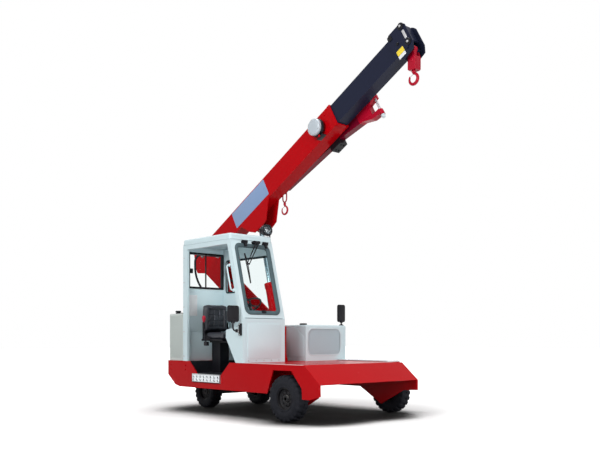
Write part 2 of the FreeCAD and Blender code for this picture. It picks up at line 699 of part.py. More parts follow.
def make_jib():
    """The jib stowed along the boom's left side, with its clamp and the small hook at its tail."""
    side = dim.boom_w / 2
    near, far = side + dim.jib_gap, side + dim.jib_gap + dim.jib_w
    middle, wall = dim.jib_y, 8
    tail, fork = dim.jib_tail, dim.jib_fork
    shell = new_body("jib_shell")
    pad(shell, "XZ", near, dim.jib_w,
        [[(tail, 38), (fork - 350, 8), (fork - 90, -32), (fork, -37), (fork, -107), (fork - 135, -127),
          (fork - 135, -292), (fork - 10, -297), (fork - 10, -367), (fork - 170, -342), (fork - 320, -257),
          (fork - 820, -168), (tail, -88)]])
    place_on_boom(shell)
    inside = new_body("jib_inside")
    pad(inside, "XZ", near + wall, dim.jib_w - wall * 2,
        [[(tail + 10, 28), (fork - 370, -2), (fork - 290, -80), (fork - 290, -235), (fork - 330, -245),
          (fork - 825, -159), (tail + 10, -79)]])
    place_on_boom(inside)
    ears = [boom_block(tail - 90, tail, middle + start, middle + start + 12, -92, 10) for start in (-23, 11)]
    pin_s, pin_n = tail - 55, -60
    pins = [boom_pin(pin_s, pin_n, middle - 23, 10, 46)]
    fork_pin = boom_block(fork - 34, fork - 10, middle - 12, middle + 12, -395, -60)
    hangers = [boom_block(tail + 150, tail + 250, side, near, -80, 20)]
    hollow = cut(None, shell, [inside])
    fuse("stowed_jib", [hollow, fork_pin] + ears + pins + hangers)

    rear, front = dim.boom_nose - 425, dim.boom_nose - 235
    sides = [boom_block(rear, front, start, end, -250, 65) for start, end in ((side, near), (far, far + 12))]
    bars = [boom_block(rear, front, near, far, low, high) for low, high in ((-250, -185), (40, 65))]
    fuse("jib_clamp", sides + bars)

    x, z = boom_xz(pin_s, pin_n)
    eye = rod("Y", x, middle - 10, z, 28, 20)
    link = new_body("link")
    pad(link, "XZ", middle - 10, 20,
        [[(x - 28, z + 5), (x + 28, z + 5), (x + 52, z - 45), (x + 52, z - 125), (x + 25, z - 175),
          (x - 25, z - 175), (x - 52, z - 125), (x - 52, z - 45)],
         [(x - 18, z - 36), (x + 18, z - 36), (x + 30, z - 58), (x + 30, z - 114), (x + 14, z - 148),
          (x - 14, z - 148), (x - 30, z - 114), (x - 30, z - 58)]])
    swivel = rod("Z", x, middle, z - 205, 20, 35)
    hook = hook_body(x, middle, z - 200, 27, 75, 10)
    cut("jib_hook", fuse(None, [eye, place(link), swivel, hook]),
        [rod("Y", x, middle - 20, z, dim.fit + 10, 40)])


def make_cable_reel():
    s = dim.boom_nose - 297
    half_w = dim.boom_w / 2
    drum = boom_pin(s, 0, -half_w - 140, 117, 92)
    flange = boom_pin(s, 0, -half_w - 52, 122, 14)
    stay = boom_pin(s, 0, -half_w - 50, 45, 50)
    fuse("cable_reel", [drum, flange, stay])


# ---------------------------------------------------------------- lift cylinder
def make_lift_cylinder():
    """The cylinder between the mast's foot and the boom's ears, drawn at the rest angle."""
    eye_x, eye_z = boom_xz(dim.lift_pin_s, -dim.lift_pin_n)
    across, up = eye_x - dim.lift_base_x, eye_z - dim.lift_base_z
    length = root(across * across + up * up)
    lean = lean_angle(across, up)

    def shaft(radius, start, end):
        item = doc.addObject("Part::Cylinder", "shaft")
        bind(item, "Radius", radius)
        bind(item, "Height", as_size(end) - start)
        item.Placement.Rotation = Rotation(Vector(0, 1, 0), lean.value)
        place(item, dim.lift_base_x + across * start / length, 0, dim.lift_base_z + up * start / length)
        bind(item, "Placement.Rotation.Angle", -lean)
        item.Placement.Rotation.Axis = Vector(0, -1, 0)
        return item

    def eye(x, z, radius, width):
        return rod("Y", x, -as_size(width) / 2, z, radius, width)

    base_w = dim.rod_eye_w
    barrel = fuse(None, [shaft(dim.barrel_r, 50, dim.barrel_l),
                         shaft(dim.barrel_r + 8, dim.barrel_l - 70, dim.barrel_l),
                         eye(dim.lift_base_x, dim.lift_base_z, dim.pin_r + 30, base_w)])
    cut("lift_barrel", barrel, [shaft(dim.rod_r + dim.slack, 90, dim.barrel_l + 10),
                                eye(dim.lift_base_x, dim.lift_base_z, dim.pin_r + dim.fit, base_w + 20)])
    fuse("lift_rod", [shaft(dim.rod_r, length - dim.rod_l, length),
                      eye(eye_x, eye_z, dim.pin_r + 25, dim.rod_eye_w)])


# ---------------------------------------------------------------- hood, engine and tank
def make_power_unit():
    """The hood on the left with the engine under it, its grille, and the hydraulic tank behind the cab."""
    front, rear = dim.hood_front_x, dim.hood_rear_x
    inner, outer = dim.hood_in_y, dim.hood_out_y
    wall = dim.hood_t
    shells = []
    for inset, below in ((0, 0), (wall, 1)):
        body = new_body("hood_shell")
        top = dim.hood_top_z - inset
        pad(body, "XY", dim.deck_z - below, top - dim.deck_z + below,
            [rect(rear + inset, front - inset, inner + inset, outer - inset)])
        round_corners(body, 25 - as_size(inset),
                      lambda way, middle, top=top: abs(way.z) < 0.1 and middle.z > top.value - 1)
        shells.append(place(body))
    shell, room = shells
    low, high = dim.deck_z + 90, dim.hood_top_z - 58
    near, far = inner + 45, outer - 110
    mouth = new_body("mouth")
    rounded_rect_body(mouth, "YZ", front - 40, 60, near, far, low, high, dim.mouth_r)
    cut("engine_hood", shell, [room, place(mouth)])
    mesh = new_body("hood_grille")
    rounded_rect_body(mesh, "YZ", front - wall, wall - 1, near, far, low, high, dim.mouth_r)
    keep(place(mesh), "hood_grille")
    keep(block(rear + 600, front - 240, inner + 100, outer - 130, dim.deck_z, dim.hood_top_z - 110),
         "engine_block")

    rear, front = dim.tank_rear_x, dim.tank_front_x
    low_y, high_y = dim.skirt_t + 1 - dim.skirt_y, -dim.tank_in_y
    tank = new_body("tank_shell")
    pad(tank, "XY", dim.deck_z, dim.tank_top_z - dim.deck_z, [rect(rear, front, low_y, high_y)])
    round_corners(tank, 20, lambda way, middle: abs(way.z) > 0.9 or middle.z > dim.tank_top_z.value - 1)
    place(tank)
    wall = dim.tank_t
    cut("hydraulic_tank", tank, [block(rear + wall, front - wall, low_y + wall, high_y - wall,
                                       dim.deck_z - 1, dim.tank_top_z - wall)])
    keep(rod("Z", rear + 150, low_y + 60, dim.tank_top_z, 42, 45), "tank_cap")


def make_hose():
    """The hose from the tank's lid to the mast's right plate, in one plane behind the cab."""
    x, r, turn = dim.hose_x, dim.hose_r, dim.hose_swing
    out_y, in_y = -dim.hose_out_y, -dim.tank_in_y - 40
    top, small = dim.hose_top_z, 120
    plate_y = -dim.mast_in_y - dim.mast_t
    sway = Size(math.degrees(math.acos(1 - (in_y - out_y).value / (2 * turn.value))),
                "acos(1 - (%s) / (2 * %s))" % ((in_y - out_y).text, turn.text))
    drop = turn * sine(sway)
    bend_z = top - small - 70

    def bend(y, z, radius, first, angle):
        """Part of a ring about an axis along X, turned from pointing down towards the left."""
        item = doc.addObject("Part::Torus", "bend")
        bind(item, "Radius1", radius)
        bind(item, "Radius2", r)
        bind(item, "Angle3", angle)
        item.Placement.Rotation = AXES["X"] * Rotation(Vector(0, 0, 1), first)
        return place(item, x, y, z)

    collar_r = r + 5
    fuse("return_hose", [
        rod("Y", x, out_y + small, top, r, plate_y - out_y - small),
        bend(out_y + small, top - small, small, 180, 90),
        rod("Z", x, out_y, bend_z, r, 70),
        bend(out_y + turn, bend_z, turn, -90, sway),
        bend(in_y - turn, bend_z - drop * 2, turn, 90, sway),
        rod("Z", x, in_y, dim.tank_top_z, r, bend_z - drop * 2 - dim.tank_top_z),
        rod("Z", x, in_y, dim.tank_top_z, collar_r, 45),
        rod("Y", x, plate_y - 45, top, collar_r, 45)])


# ---------------------------------------------------------------- cab
def cab_front(z):
    """X of the cab's front at a height: upright to the sill, leaning back above it."""
    return dim.cab_front_x - (z - dim.cab_sill_z) * tangent(dim.rake)


def place_on_rake(body, y=0):
    """Puts a body drawn in the windscreen's axes on the leaning front."""
    body.Placement.Rotation = Rotation(Vector(0, -1, 0), dim.rake.value)
    place(body, dim.cab_front_x, y, dim.cab_sill_z)
    bind(body, "Placement.Rotation.Angle", dim.rake)
    return body


def make_cab():
    """The cab's panels, each cut for its window, with the glass that fills the cut."""
    wall = dim.cab_wall_t
    rear, front, sill = dim.cab_rear_x, dim.cab_front_x, dim.cab_sill_z
    under_roof = dim.cab_roof_z - dim.roof_t
    right, left = -dim.cab_right, -dim.cab_left
    deck = dim.deck_z

    frame = new_body("cab_side_frame")
    door_top = dim.door_top_z
    pad(frame, "XZ", right, wall,
        [[(rear, deck), (rear, under_roof), (cab_front(under_roof), under_roof), (front, sill),
          (front, deck), (front - 160, deck), (front - 378, deck + 338), (front - 378, deck + 448),
          (front - 139, sill - 113), (front - 64, sill - 85), (cab_front(door_top) - 76, door_top),
          (rear + 107, door_top), (rear + 107, deck)]])
    round_corners(frame, 22, lambda way, middle: abs(way.y) > 0.9 and rear.value + 50 < middle.x
                  < cab_front(door_top).value - 60 + (door_top.value - middle.z) * 0.2
                  and deck.value + 100 < middle.z < under_roof.value - 5)
    keep(place(frame), "cab_side_frame")

    low_win, high_win = sill + 477, under_roof - 89
    panel = new_body("cab_rear_wall")
    pad(panel, "YZ", rear, wall, [rect(right + wall, left, deck, under_roof),
                                  rect(right + 72, left - wall - 4, low_win, high_win)])
    keep(place(panel), "cab_rear_wall")
    keep(block(rear + 12, rear + 12 + dim.glass_t, right + 72, left - wall - 4, low_win, high_win),
         "rear_glass")

    pane = [(rear + 100, high_win - 91), (rear + 100, sill + 420), (rear + 470, sill + 420),
            (rear + 680, sill + 70), (cab_front(sill + 70) - 60, sill + 70),
            (cab_front(high_win - 91) - 60, high_win - 91)]
    corner_r = 45
    panel = new_body("cab_left_wall")
    pad(panel, "XZ", left - wall, wall,
        [[(rear + wall, deck), (rear + wall, under_roof), (cab_front(under_roof), under_roof),
          (front, sill), (front, deck)], pane])
    round_corners(panel, corner_r, lambda way, middle: abs(way.y) > 0.9 and middle.x > rear.value + 80
                  and sill.value + 50 < middle.z < high_win.value - 80)
    keep(place(panel), "cab_left_wall")
    glass = new_body("left_glass")
    pad(glass, "XZ", left - 20, dim.glass_t, [pane])
    round_corners(glass, corner_r, lambda way, middle: abs(way.y) > 0.9)
    keep(place(glass), "left_glass")

    inner_right, inner_left = right + wall, left - wall
    low_panel = block(front - wall, front, inner_right, inner_left, deck, sill)
    rise = (under_roof - sill) / cosine(dim.rake)
    start = wall * tangent(dim.rake)
    screen = rect(inner_right + 40, inner_left - 40, 70, rise - 60)
    screen_r = 75
    panel = new_body("screen_frame")
    pad(panel, "YZ", -wall, wall, [rect(inner_right, inner_left, start, rise), screen])
    round_corners(panel, screen_r, lambda way, middle: abs(way.x) > 0.9
                  and inner_right.value + 30 < middle.y < inner_left.value - 30)
    group("cab_front_panel", [low_panel, place_on_rake(panel)])
    glass = new_body("windscreen")
    pad(glass, "YZ", -20, dim.glass_t, [screen])
    round_corners(glass, screen_r, lambda way, middle: abs(way.x) > 0.9)
    keep(place_on_rake(glass), "windscreen")

    roof = new_body("cab_roof")
    pad(roof, "XY", under_roof, dim.roof_t, [rect(rear, cab_front(under_roof), right, left)])
    round_corners(roof, 30, lambda way, middle: abs(way.z) > 0.9 or middle.z > dim.cab_roof_z.value - 1)
    keep(place(roof), "cab_roof")

    wiper = new_body("wiper")
    pad(wiper, "YZ", 0, 55, [rect(-690, -560, rise - 45, rise - 4)])
    pad(wiper, "YZ", 9, 10, [[(-645, rise - 20), (-615, rise - 20), (-790, 600), (-790, 320), (-808, 320),
                             (-808, 620)]])
    keep(place_on_rake(wiper), "wiper")
    lamp_z = dim.cab_roof_z + dim.lamp_r + 8
    lamp_x = cab_front(under_roof)
    fuse("work_lamp", [rod("X", lamp_x - 100, left - 60, lamp_z, dim.lamp_r, 90),
                       rod("X", lamp_x - 130, left - 60, lamp_z, dim.lamp_r - 25, 40),
                       block(lamp_x - 90, lamp_x - 60, left - 80, left - 40, dim.cab_roof_z, lamp_z)])


def make_cab_inside():
    """Seat on its post, steering console and wheel."""
    middle = -dim.seat_y
    half = dim.seat_w / 2
    rear, front, top = dim.seat_rear_x, dim.seat_front_x, dim.seat_z
    floor_z = dim.door_notch_z
    post = block(rear, rear + 200, middle - 80, middle + 80, floor_z, top - 25)
    foot = block(rear - 40, rear + 260, middle - 140, middle + 140, floor_z, floor_z + 12)
    pan = block(rear - 80, front - 20, middle - half + 10, middle + half - 10, top - 25, top)
    stay = block(rear - 95, rear - 80, middle - 150, middle + 150, top - 25, top + 400)
    fuse("seat_pedestal", [post, foot, pan, stay])

    def pad_block(label, x0, x1, z0, z1):
        body = new_body(label)
        rounded_rect_body(body, "XZ", middle - half, dim.seat_w, x0, x1, z0, z1, 30)
        keep(place(body), label)

    pad_block("seat_cushion", rear + 30, front, top + dim.slack, top + 100)
    pad_block("seat_backrest", rear - 80 + dim.slack, rear + 20, top + 105, top + 510)

    hub_x, hub_z = dim.wheel_hub_x, dim.wheel_hub_z
    stand_x = dim.well_front_x - dim.floor_t
    console = new_body("console")
    pad(console, "XZ", middle - 110, 220,
        [[(stand_x, floor_z), (stand_x, dim.cab_sill_z - 60), (stand_x - 110, dim.cab_sill_z - 110),
          (stand_x - 130, dim.cab_sill_z - 300), (stand_x - 90, floor_z)]])
    tilt = 35
    drop = 330
    seat_t = 12
    column = doc.addObject("Part::Cylinder", "column")
    bind(column, "Radius", 22)
    bind(column, "Height", drop - seat_t)
    column.Placement.Rotation = Rotation(Vector(0, -1, 0), tilt)
    lean = math.radians(tilt)
    place(column, hub_x + drop * math.sin(lean), middle, hub_z - drop * math.cos(lean))
    fuse("steering_console", [place(console), column])

    wheel_tilt = Rotation(Vector(0, -1, 0), tilt)
    ring = doc.addObject("Part::Torus", "ring")
    bind(ring, "Radius1", dim.steering_r)
    bind(ring, "Radius2", 13)
    ring.Placement.Rotation = wheel_tilt
    place(ring, hub_x, middle, hub_z)
    hub = doc.addObject("Part::Cylinder", "hub")
    bind(hub, "Radius", 32)
    bind(hub, "Height", 24 + seat_t)
    hub.Placement.Rotation = wheel_tilt
    place(hub, hub_x + seat_t * math.sin(lean), middle, hub_z - seat_t * math.cos(lean))
    spoke = rod("Y", hub_x, middle - dim.steering_r, hub_z, 9, dim.steering_r * 2)
    fuse("steering_wheel", [ring, hub, spoke])


def make_mirrors():
    """Mirrors on arms: one on the cab's right side, one on the hood's front corner."""
    right = -dim.cab_right
    x = dim.cab_front_x - 40
    z = dim.cab_sill_z
    head = new_body("mirror_head")
    rounded_rect_body(head, "YZ", x - 12, 26, right - 226, right - 34, z - 50, z + 170, 25)
    arm = block(x - 12, x + 12, right - 140, right, z - 185, z - 160)
    riser = block(x - 12, x + 12, right - 140, right - 116, z - 185, z - 45)
    fuse("mirror_right", [place(head), arm, riser])

    x = dim.hood_front_x - 45
    y = dim.hood_out_y - 45
    head = new_body("mirror_head")
    rounded_rect_body(head, "YZ", x - 12, 26, y - 80, y + 80, dim.hood_top_z + 50, dim.hood_top_z + 315, 25)
    stem = block(x - 12, x + 12, y - 12, y + 12, dim.hood_top_z, dim.hood_top_z + 100)
    fuse("mirror_left", [place(head), stem])


# ---------------------------------------------------------------- build, check, write
make_wheels()
make_running_gear()
make_chassis()
make_mast()
make_boom()
make_hook_block()
make_jib()
make_cable_reel()
make_lift_cylinder()
make_power_unit()
make_hose()
make_cab()
make_cab_inside()
make_mirrors()
doc.recompute()

for item in doc.Objects:
    if "Invalid" in item.State or "Error" in item.State:
        raise RuntimeError("%s (%s) did not build" % (item.Name, item.Label))
for item in sub_parts:
    if item.Shape.isNull() or not item.Shape.isValid():
        raise RuntimeError("%s has no valid shape" % item.Label)

os.makedirs("parts", exist_ok=True)
for item in sub_parts:
    item.Shape.exportStep(os.path.join("parts", item.Label + ".step"))
print(len(sub_parts), "sub-parts written")
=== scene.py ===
"""Dresses the pick and carry crane: finishes, tyres, glass seals, seat, hooks, hoses and light.

Pieces are drawn in the machine's own axes, in metres: X forward from the front axle, Y left from the
centre plane, Z up. Boom pieces are drawn in the boom's axes: along it, across it and square to it.
"""
import json
import math
import bmesh
import bpy
from mathutils import Matrix, Vector


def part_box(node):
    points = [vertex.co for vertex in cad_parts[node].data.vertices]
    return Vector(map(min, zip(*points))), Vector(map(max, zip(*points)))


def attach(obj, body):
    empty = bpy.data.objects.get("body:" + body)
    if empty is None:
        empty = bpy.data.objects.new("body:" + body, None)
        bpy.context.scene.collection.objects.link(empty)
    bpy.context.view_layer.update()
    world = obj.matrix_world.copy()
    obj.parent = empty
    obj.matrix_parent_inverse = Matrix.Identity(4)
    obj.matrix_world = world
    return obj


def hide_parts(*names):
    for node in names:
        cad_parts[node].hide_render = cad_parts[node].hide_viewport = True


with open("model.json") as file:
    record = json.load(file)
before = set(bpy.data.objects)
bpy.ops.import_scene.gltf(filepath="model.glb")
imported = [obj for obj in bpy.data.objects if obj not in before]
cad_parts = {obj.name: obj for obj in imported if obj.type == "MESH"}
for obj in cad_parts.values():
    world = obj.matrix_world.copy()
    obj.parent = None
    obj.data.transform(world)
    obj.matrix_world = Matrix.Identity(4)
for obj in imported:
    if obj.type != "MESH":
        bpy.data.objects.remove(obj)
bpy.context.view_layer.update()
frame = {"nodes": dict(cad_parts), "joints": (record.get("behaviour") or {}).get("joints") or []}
nodes = frame["nodes"]
joints = {joint["name"]: joint for joint in frame["joints"]}


# ---------------------------------------------------------------- axes taken from the frame
def middle(node):
    """The middle of a node's box."""
    low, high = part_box(node)
    return (low + high) / 2


def axes_at(origin, along):
    """Axes with X along a direction in the machine's side plane, Y across it and Z square to it."""
    along = Vector(along).normalized()
    across = Vector((0, 1, 0))
    square = along.cross(across)
    turn = Matrix((along, across, square)).transposed().to_4x4()
    return Matrix.Translation(origin) @ turn


FRONT_AXLE_X = middle("front_tyre_right").x
CENTRE_Y = middle("boom_pivot_pin").y
MACHINE = Matrix.Translation((FRONT_AXLE_X, CENTRE_Y, 0))
BOOM = axes_at(middle("boom_pivot_pin"), joints["boom_telescope"]["axis"])
LIFT = axes_at(middle("lift_base_pin"), joints["cylinder_stroke"]["axis"])
RAKE = math.radians(14.7)          # lean of the windscreen
CAB_FRONT_X, CAB_SILL_Z = -0.84, 1.33
SCREEN = MACHINE @ Matrix.Translation((CAB_FRONT_X, 0, CAB_SILL_Z)) @ Matrix.Rotation(-RAKE, 4, "Y")
CAB_LEFT = -0.31
TAIL_X = -2.6625                    # rear face of the counterweight
PIVOT_X, PIVOT_Z = -3.05, 2.42      # boom pivot
MAST_SIDE = 0.15                    # outer face of a mast plate
BOOM_SIDE, BOOM_TOP = 0.110, 0.1625  # half width and half height of the outer boom
CHEEK = 0.118                       # outer face of a head cheek
HEAD_PINS = ((4.84, 0.140), (4.84, -0.115))


# ---------------------------------------------------------------- camera and light
def set_camera():
    """A level view from the front right, with the horizon low in the frame."""
    place, turn = (7.276, -7.431, 1.069), math.radians(47.606)
    camera = bpy.data.cameras.new("camera")
    camera.lens = 46.16
    camera.sensor_width = 36
    camera.shift_y = 0.188
    camera.clip_end = 200
    item = bpy.data.objects.new("camera", camera)
    item.matrix_world = (MACHINE @ Matrix.Translation(place) @ Matrix.Rotation(turn, 4, "Z")
                         @ Matrix.Rotation(math.radians(90), 4, "X"))
    bpy.context.collection.objects.link(item)
    bpy.context.scene.camera = item


def add_area_light(name, place, aim, size, power):
    """A round lamp that looks from a place at a point."""
    light = bpy.data.lights.new(name, "AREA")
    light.shape = "DISK"
    light.size = size
    light.energy = power
    item = bpy.data.objects.new(name, light)
    way = (Vector(aim) - Vector(place)).to_track_quat("-Z", "Y")
    item.matrix_world = MACHINE @ Matrix.Translation(place) @ way.to_matrix().to_4x4()
    bpy.context.collection.objects.link(item)


def seen_rays(wire):
    """One for rays from the camera, from glossy faces and through glass, and zero for the rest."""
    path = wire.node("ShaderNodeLightPath").outputs
    direct = wire.math("MAXIMUM", path["Is Camera Ray"], path["Is Glossy Ray"])
    return wire.math("MAXIMUM", direct, path["Is Transmission Ray"])


def set_light():
    """A white studio: even sky, a large key light at the right, one overhead and one in front."""
    sky_light, seen_sky = 0.36, 1.0
    add_area_light("key_light", (1.5, -9.0, 6.0), (-1.0, 0, 1.6), 5.0, 560)
    add_area_light("top_light", (-0.5, 0.5, 10.0), (-1.0, 0, 0), 4.5, 300)
    add_area_light("front_light", (9.5, -1.5, 3.2), (0, 0, 1.3), 4.0, 430)
    world = bpy.data.worlds.new("studio")
    bpy.context.scene.world = world
    world.use_nodes = True
    wire = Wiring(world.node_tree)
    sky = world.node_tree.nodes["Background"]
    sky.inputs["Color"].default_value = (1, 1, 1, 1)
    wire.feed(sky.inputs["Strength"], wire.ramp(seen_rays(wire), 0.0, 1.0, sky_light, seen_sky))
    bpy.context.scene.view_settings.view_transform = "Standard"


def add_floor():
    """A pale studio floor with painted shadow: an ambient occlusion mask darkens it where the machine
    closes it off; plain white away from it.
    """
    reach, painted_shadow_reach, paper_white, paper_grey = 60, 0.9, (0.98, 0.98, 0.98), (0.50, 0.50, 0.50)
    mesh = bpy.data.meshes.new("studio_floor")
    mesh.from_pydata([corner("XY", u, v, 0) for u, v in rectangle(-reach, reach, -reach, reach)],
                     [], [(0, 1, 2, 3)])
    floor = bpy.data.objects.new("studio_floor", mesh)
    floor.location.z = -0.001
    bpy.context.collection.objects.link(floor)
    material = bpy.data.materials.new("floor_paper")
    material.use_nodes = True
    wire = Wiring(material.node_tree)
    shader = material.node_tree.nodes["Principled BSDF"].inputs
    shader["Roughness"].default_value = 0.9
    shader["Specular IOR Level"].default_value = 0.1
    seen = seen_rays(wire)
    # Painted shadow: ambient occlusion under the machine darkens the floor's colour and its emission
    # towards black.
    opening = wire.node("ShaderNodeAmbientOcclusion", samples=12)
    opening.inputs["Distance"].default_value = painted_shadow_reach
    painted_shadow_mask = wire.ramp(opening.outputs["AO"], 0.66, 0.88, 0.02, 1.0)
    paper = wire.mix(seen, paper_grey, paper_white)
    wire.feed(shader["Base Color"], wire.mix(painted_shadow_mask, (0, 0, 0), paper))
    away = wire.node("ShaderNodeVectorMath", operation="LENGTH")
    wire.feed(away.inputs[0], wire.node("ShaderNodeTexCoord").outputs["Object"])
    whiter = wire.ramp(away.outputs["Value"], 2.0, 5.0, 0.10, 1.0)
    shown = wire.math("MULTIPLY", painted_shadow_mask, wire.math("MULTIPLY", seen, whiter))
    wire.feed(shader["Emission Color"], shown)
    shader["Emission Strength"].default_value = 1.0
    mesh.materials.append(material)


# ---------------------------------------------------------------- shader groups
class Wiring:
    """Short calls for nodes and links in one tree."""

    def __init__(self, tree):
        self.tree = tree

    def node(self, kind, **settings):
        item = self.tree.nodes.new(kind)
        for name, value in settings.items():
            setattr(item, name, value)
        return item

    def feed(self, socket, value):
        if isinstance(value, bpy.types.NodeSocket):
            self.tree.links.new(value, socket)
        elif hasattr(value, "__len__") and len(value) == 3 and len(socket.default_value) == 4:
            socket.default_value = (*value, 1)
        else:
            socket.default_value = value

    def math(self, operation, first, second=0.0, clamp=False):
        item = self.node("ShaderNodeMath", operation=operation, use_clamp=clamp)
        self.feed(item.inputs[0], first)
        self.feed(item.inputs[1], second)
        return item.outputs[0]

    def noise(self, coordinates, scale, detail=3.0, roughness=0.5):
        """A noise pattern at a scale."""
        item = self.node("ShaderNodeTexNoise")
        self.feed(item.inputs["Vector"], coordinates)
        self.feed(item.inputs["Scale"], scale)
        item.inputs["Detail"].default_value = detail
        item.inputs["Roughness"].default_value = roughness
        return item.outputs["Fac"]

    def ramp(self, value, low, high, to_low=0.0, to_high=1.0):
        """A value carried from one range to another, held at its ends."""
        item = self.node("ShaderNodeMapRange", clamp=True)
        for label, number in (("Value", value), ("From Min", low), ("From Max", high),
                              ("To Min", to_low), ("To Max", to_high)):
            self.feed(item.inputs[label], number)
        return item.outputs["Result"]

    def mix(self, factor, first, second):
        """Two colours mixed by a factor."""
        item = self.node("ShaderNodeMix", data_type="RGBA")
        self.feed(item.inputs["Factor"], factor)
        self.feed(item.inputs[6], first)
        self.feed(item.inputs[7], second)
        return item.outputs[2]


def new_group(name, inputs):
    """An empty shader group with named inputs, giving a colour, a roughness and a height."""
    kinds = {"float": "NodeSocketFloat", "color": "NodeSocketColor", "vector": "NodeSocketVector"}
    outputs = [("Colour", "color"), ("Roughness", "float"), ("Height", "float")]
    group = bpy.data.node_groups.new(name, "ShaderNodeTree")
    for direction, sockets in (("INPUT", inputs), ("OUTPUT", outputs)):
        for label, kind in sockets:
            group.interface.new_socket(label, in_out=direction, socket_type=kinds[kind])
    wire = Wiring(group)
    given, result = wire.node("NodeGroupInput").outputs, wire.node("NodeGroupOutput").inputs
    return group, wire, given, result, wire.node("ShaderNodeTexCoord").outputs["Object"]


def make_coat_group():
    """Sprayed paint: slight unevenness, dust that settles on top faces and road film low down."""
    group, wire, given, result, place = new_group(
        "sprayed_coat",
        [("Colour", "color"), ("Dust Colour", "color"), ("Dust", "float"), ("Film", "float"),
         ("Gloss Roughness", "float"), ("Peel Scale", "float")])
    facing = wire.node("ShaderNodeSeparateXYZ")
    wire.feed(facing.inputs[0], wire.node("ShaderNodeNewGeometry").outputs["Normal"])
    height = wire.node("ShaderNodeSeparateXYZ")
    wire.feed(height.inputs[0], place)
    broad = wire.noise(place, 1.7, 4.0, 0.55)
    patch = wire.noise(place, 9.0, 5.0, 0.6)
    upward = wire.ramp(facing.outputs["Z"], 0.35, 0.95)
    settled = wire.math("MULTIPLY", wire.math("MULTIPLY", upward, wire.ramp(patch, 0.3, 0.75)),
                        given["Dust"], clamp=True)
    low_down = wire.ramp(height.outputs["Z"], 0.15, 0.75, 1.0, 0.0)
    film = wire.math("MULTIPLY", wire.math("MULTIPLY", low_down, wire.ramp(patch, 0.35, 0.8)),
                     given["Film"], clamp=True)
    deeper = wire.node("ShaderNodeMix", data_type="RGBA", blend_type="MULTIPLY")
    wire.feed(deeper.inputs["Factor"], wire.ramp(broad, 0.35, 0.75, 0.0, 0.22))
    wire.feed(deeper.inputs[6], given["Colour"])
    wire.feed(deeper.inputs[7], (0.80, 0.80, 0.82))
    dusted = wire.mix(settled, deeper.outputs[2], given["Dust Colour"])
    filmed = wire.mix(film, dusted, given["Dust Colour"])
    wire.feed(result["Colour"], filmed)
    spread = wire.ramp(patch, 0.3, 0.8, -0.03, 0.07)
    worn = wire.math("ADD", given["Gloss Roughness"], spread)
    dull = wire.math("MULTIPLY", wire.math("ADD", settled, film), 0.5)
    wire.feed(result["Roughness"], wire.math("ADD", worn, dull, clamp=True))
    wire.feed(result["Height"], wire.noise(place, given["Peel Scale"], 2.0, 0.5))
    return group


def make_rubber_group():
    """Moulded rubber: fine speckle and a dull grey bloom."""
    group, wire, given, result, place = new_group(
        "moulded_rubber",
        [("Colour", "color"), ("Bloom Colour", "color"), ("Bloom", "float"), ("Grain Scale", "float")])
    patch = wire.noise(place, 14.0, 5.0, 0.65)
    grain = wire.noise(place, given["Grain Scale"], 3.0, 0.7)
    amount = wire.math("MULTIPLY", wire.ramp(patch, 0.35, 0.75), given["Bloom"], clamp=True)
    wire.feed(result["Colour"], wire.mix(amount, given["Colour"], given["Bloom Colour"]))
    wire.feed(result["Roughness"], wire.ramp(grain, 0.2, 0.8, 0.55, 0.85))
    wire.feed(result["Height"], grain)
    return group


def make_metal_group():
    """Bare metal: brushed grain along one way, with darker handled patches."""
    group, wire, given, result, place = new_group(
        "bare_metal",
        [("Colour", "color"), ("Stain Colour", "color"), ("Stain", "float"), ("Stretch", "vector"),
         ("Base Roughness", "float")])
    pulled = wire.node("ShaderNodeVectorMath", operation="MULTIPLY")
    wire.feed(pulled.inputs[0], place)
    wire.feed(pulled.inputs[1], given["Stretch"])
    grain = wire.noise(pulled.outputs[0], 1.0, 3.0, 0.6)
    patch = wire.noise(place, 11.0, 4.0, 0.6)
    amount = wire.math("MULTIPLY", wire.ramp(patch, 0.42, 0.8), given["Stain"], clamp=True)
    wire.feed(result["Colour"], wire.mix(amount, given["Colour"], given["Stain Colour"]))
    rough = wire.math("ADD", given["Base Roughness"], wire.ramp(grain, 0.25, 0.75, -0.06, 0.10))
    wire.feed(result["Roughness"], rough)
    wire.feed(result["Height"], grain)
    return group


def make_weave_group():
    """Fine raised grain of coated cloth."""
    group, wire, given, result, place = new_group(
        "coated_grain",
        [("Colour", "color"), ("Worn Colour", "color"), ("Wear", "float"), ("Grain Scale", "float")])
    cells = wire.node("ShaderNodeTexVoronoi", feature="SMOOTH_F1")
    wire.feed(cells.inputs["Vector"], place)
    wire.feed(cells.inputs["Scale"], given["Grain Scale"])
    patch = wire.noise(place, 7.0, 4.0, 0.6)
    amount = wire.math("MULTIPLY", wire.ramp(patch, 0.4, 0.75), given["Wear"], clamp=True)
    wire.feed(result["Colour"], wire.mix(amount, given["Colour"], given["Worn Colour"]))
    wire.feed(result["Roughness"], wire.ramp(patch, 0.3, 0.8, 0.38, 0.56))
    wire.feed(result["Height"], cells.outputs["Distance"])
    return group


COAT = make_coat_group()
RUBBER = make_rubber_group()
METAL = make_metal_group()
WEAVE = make_weave_group()


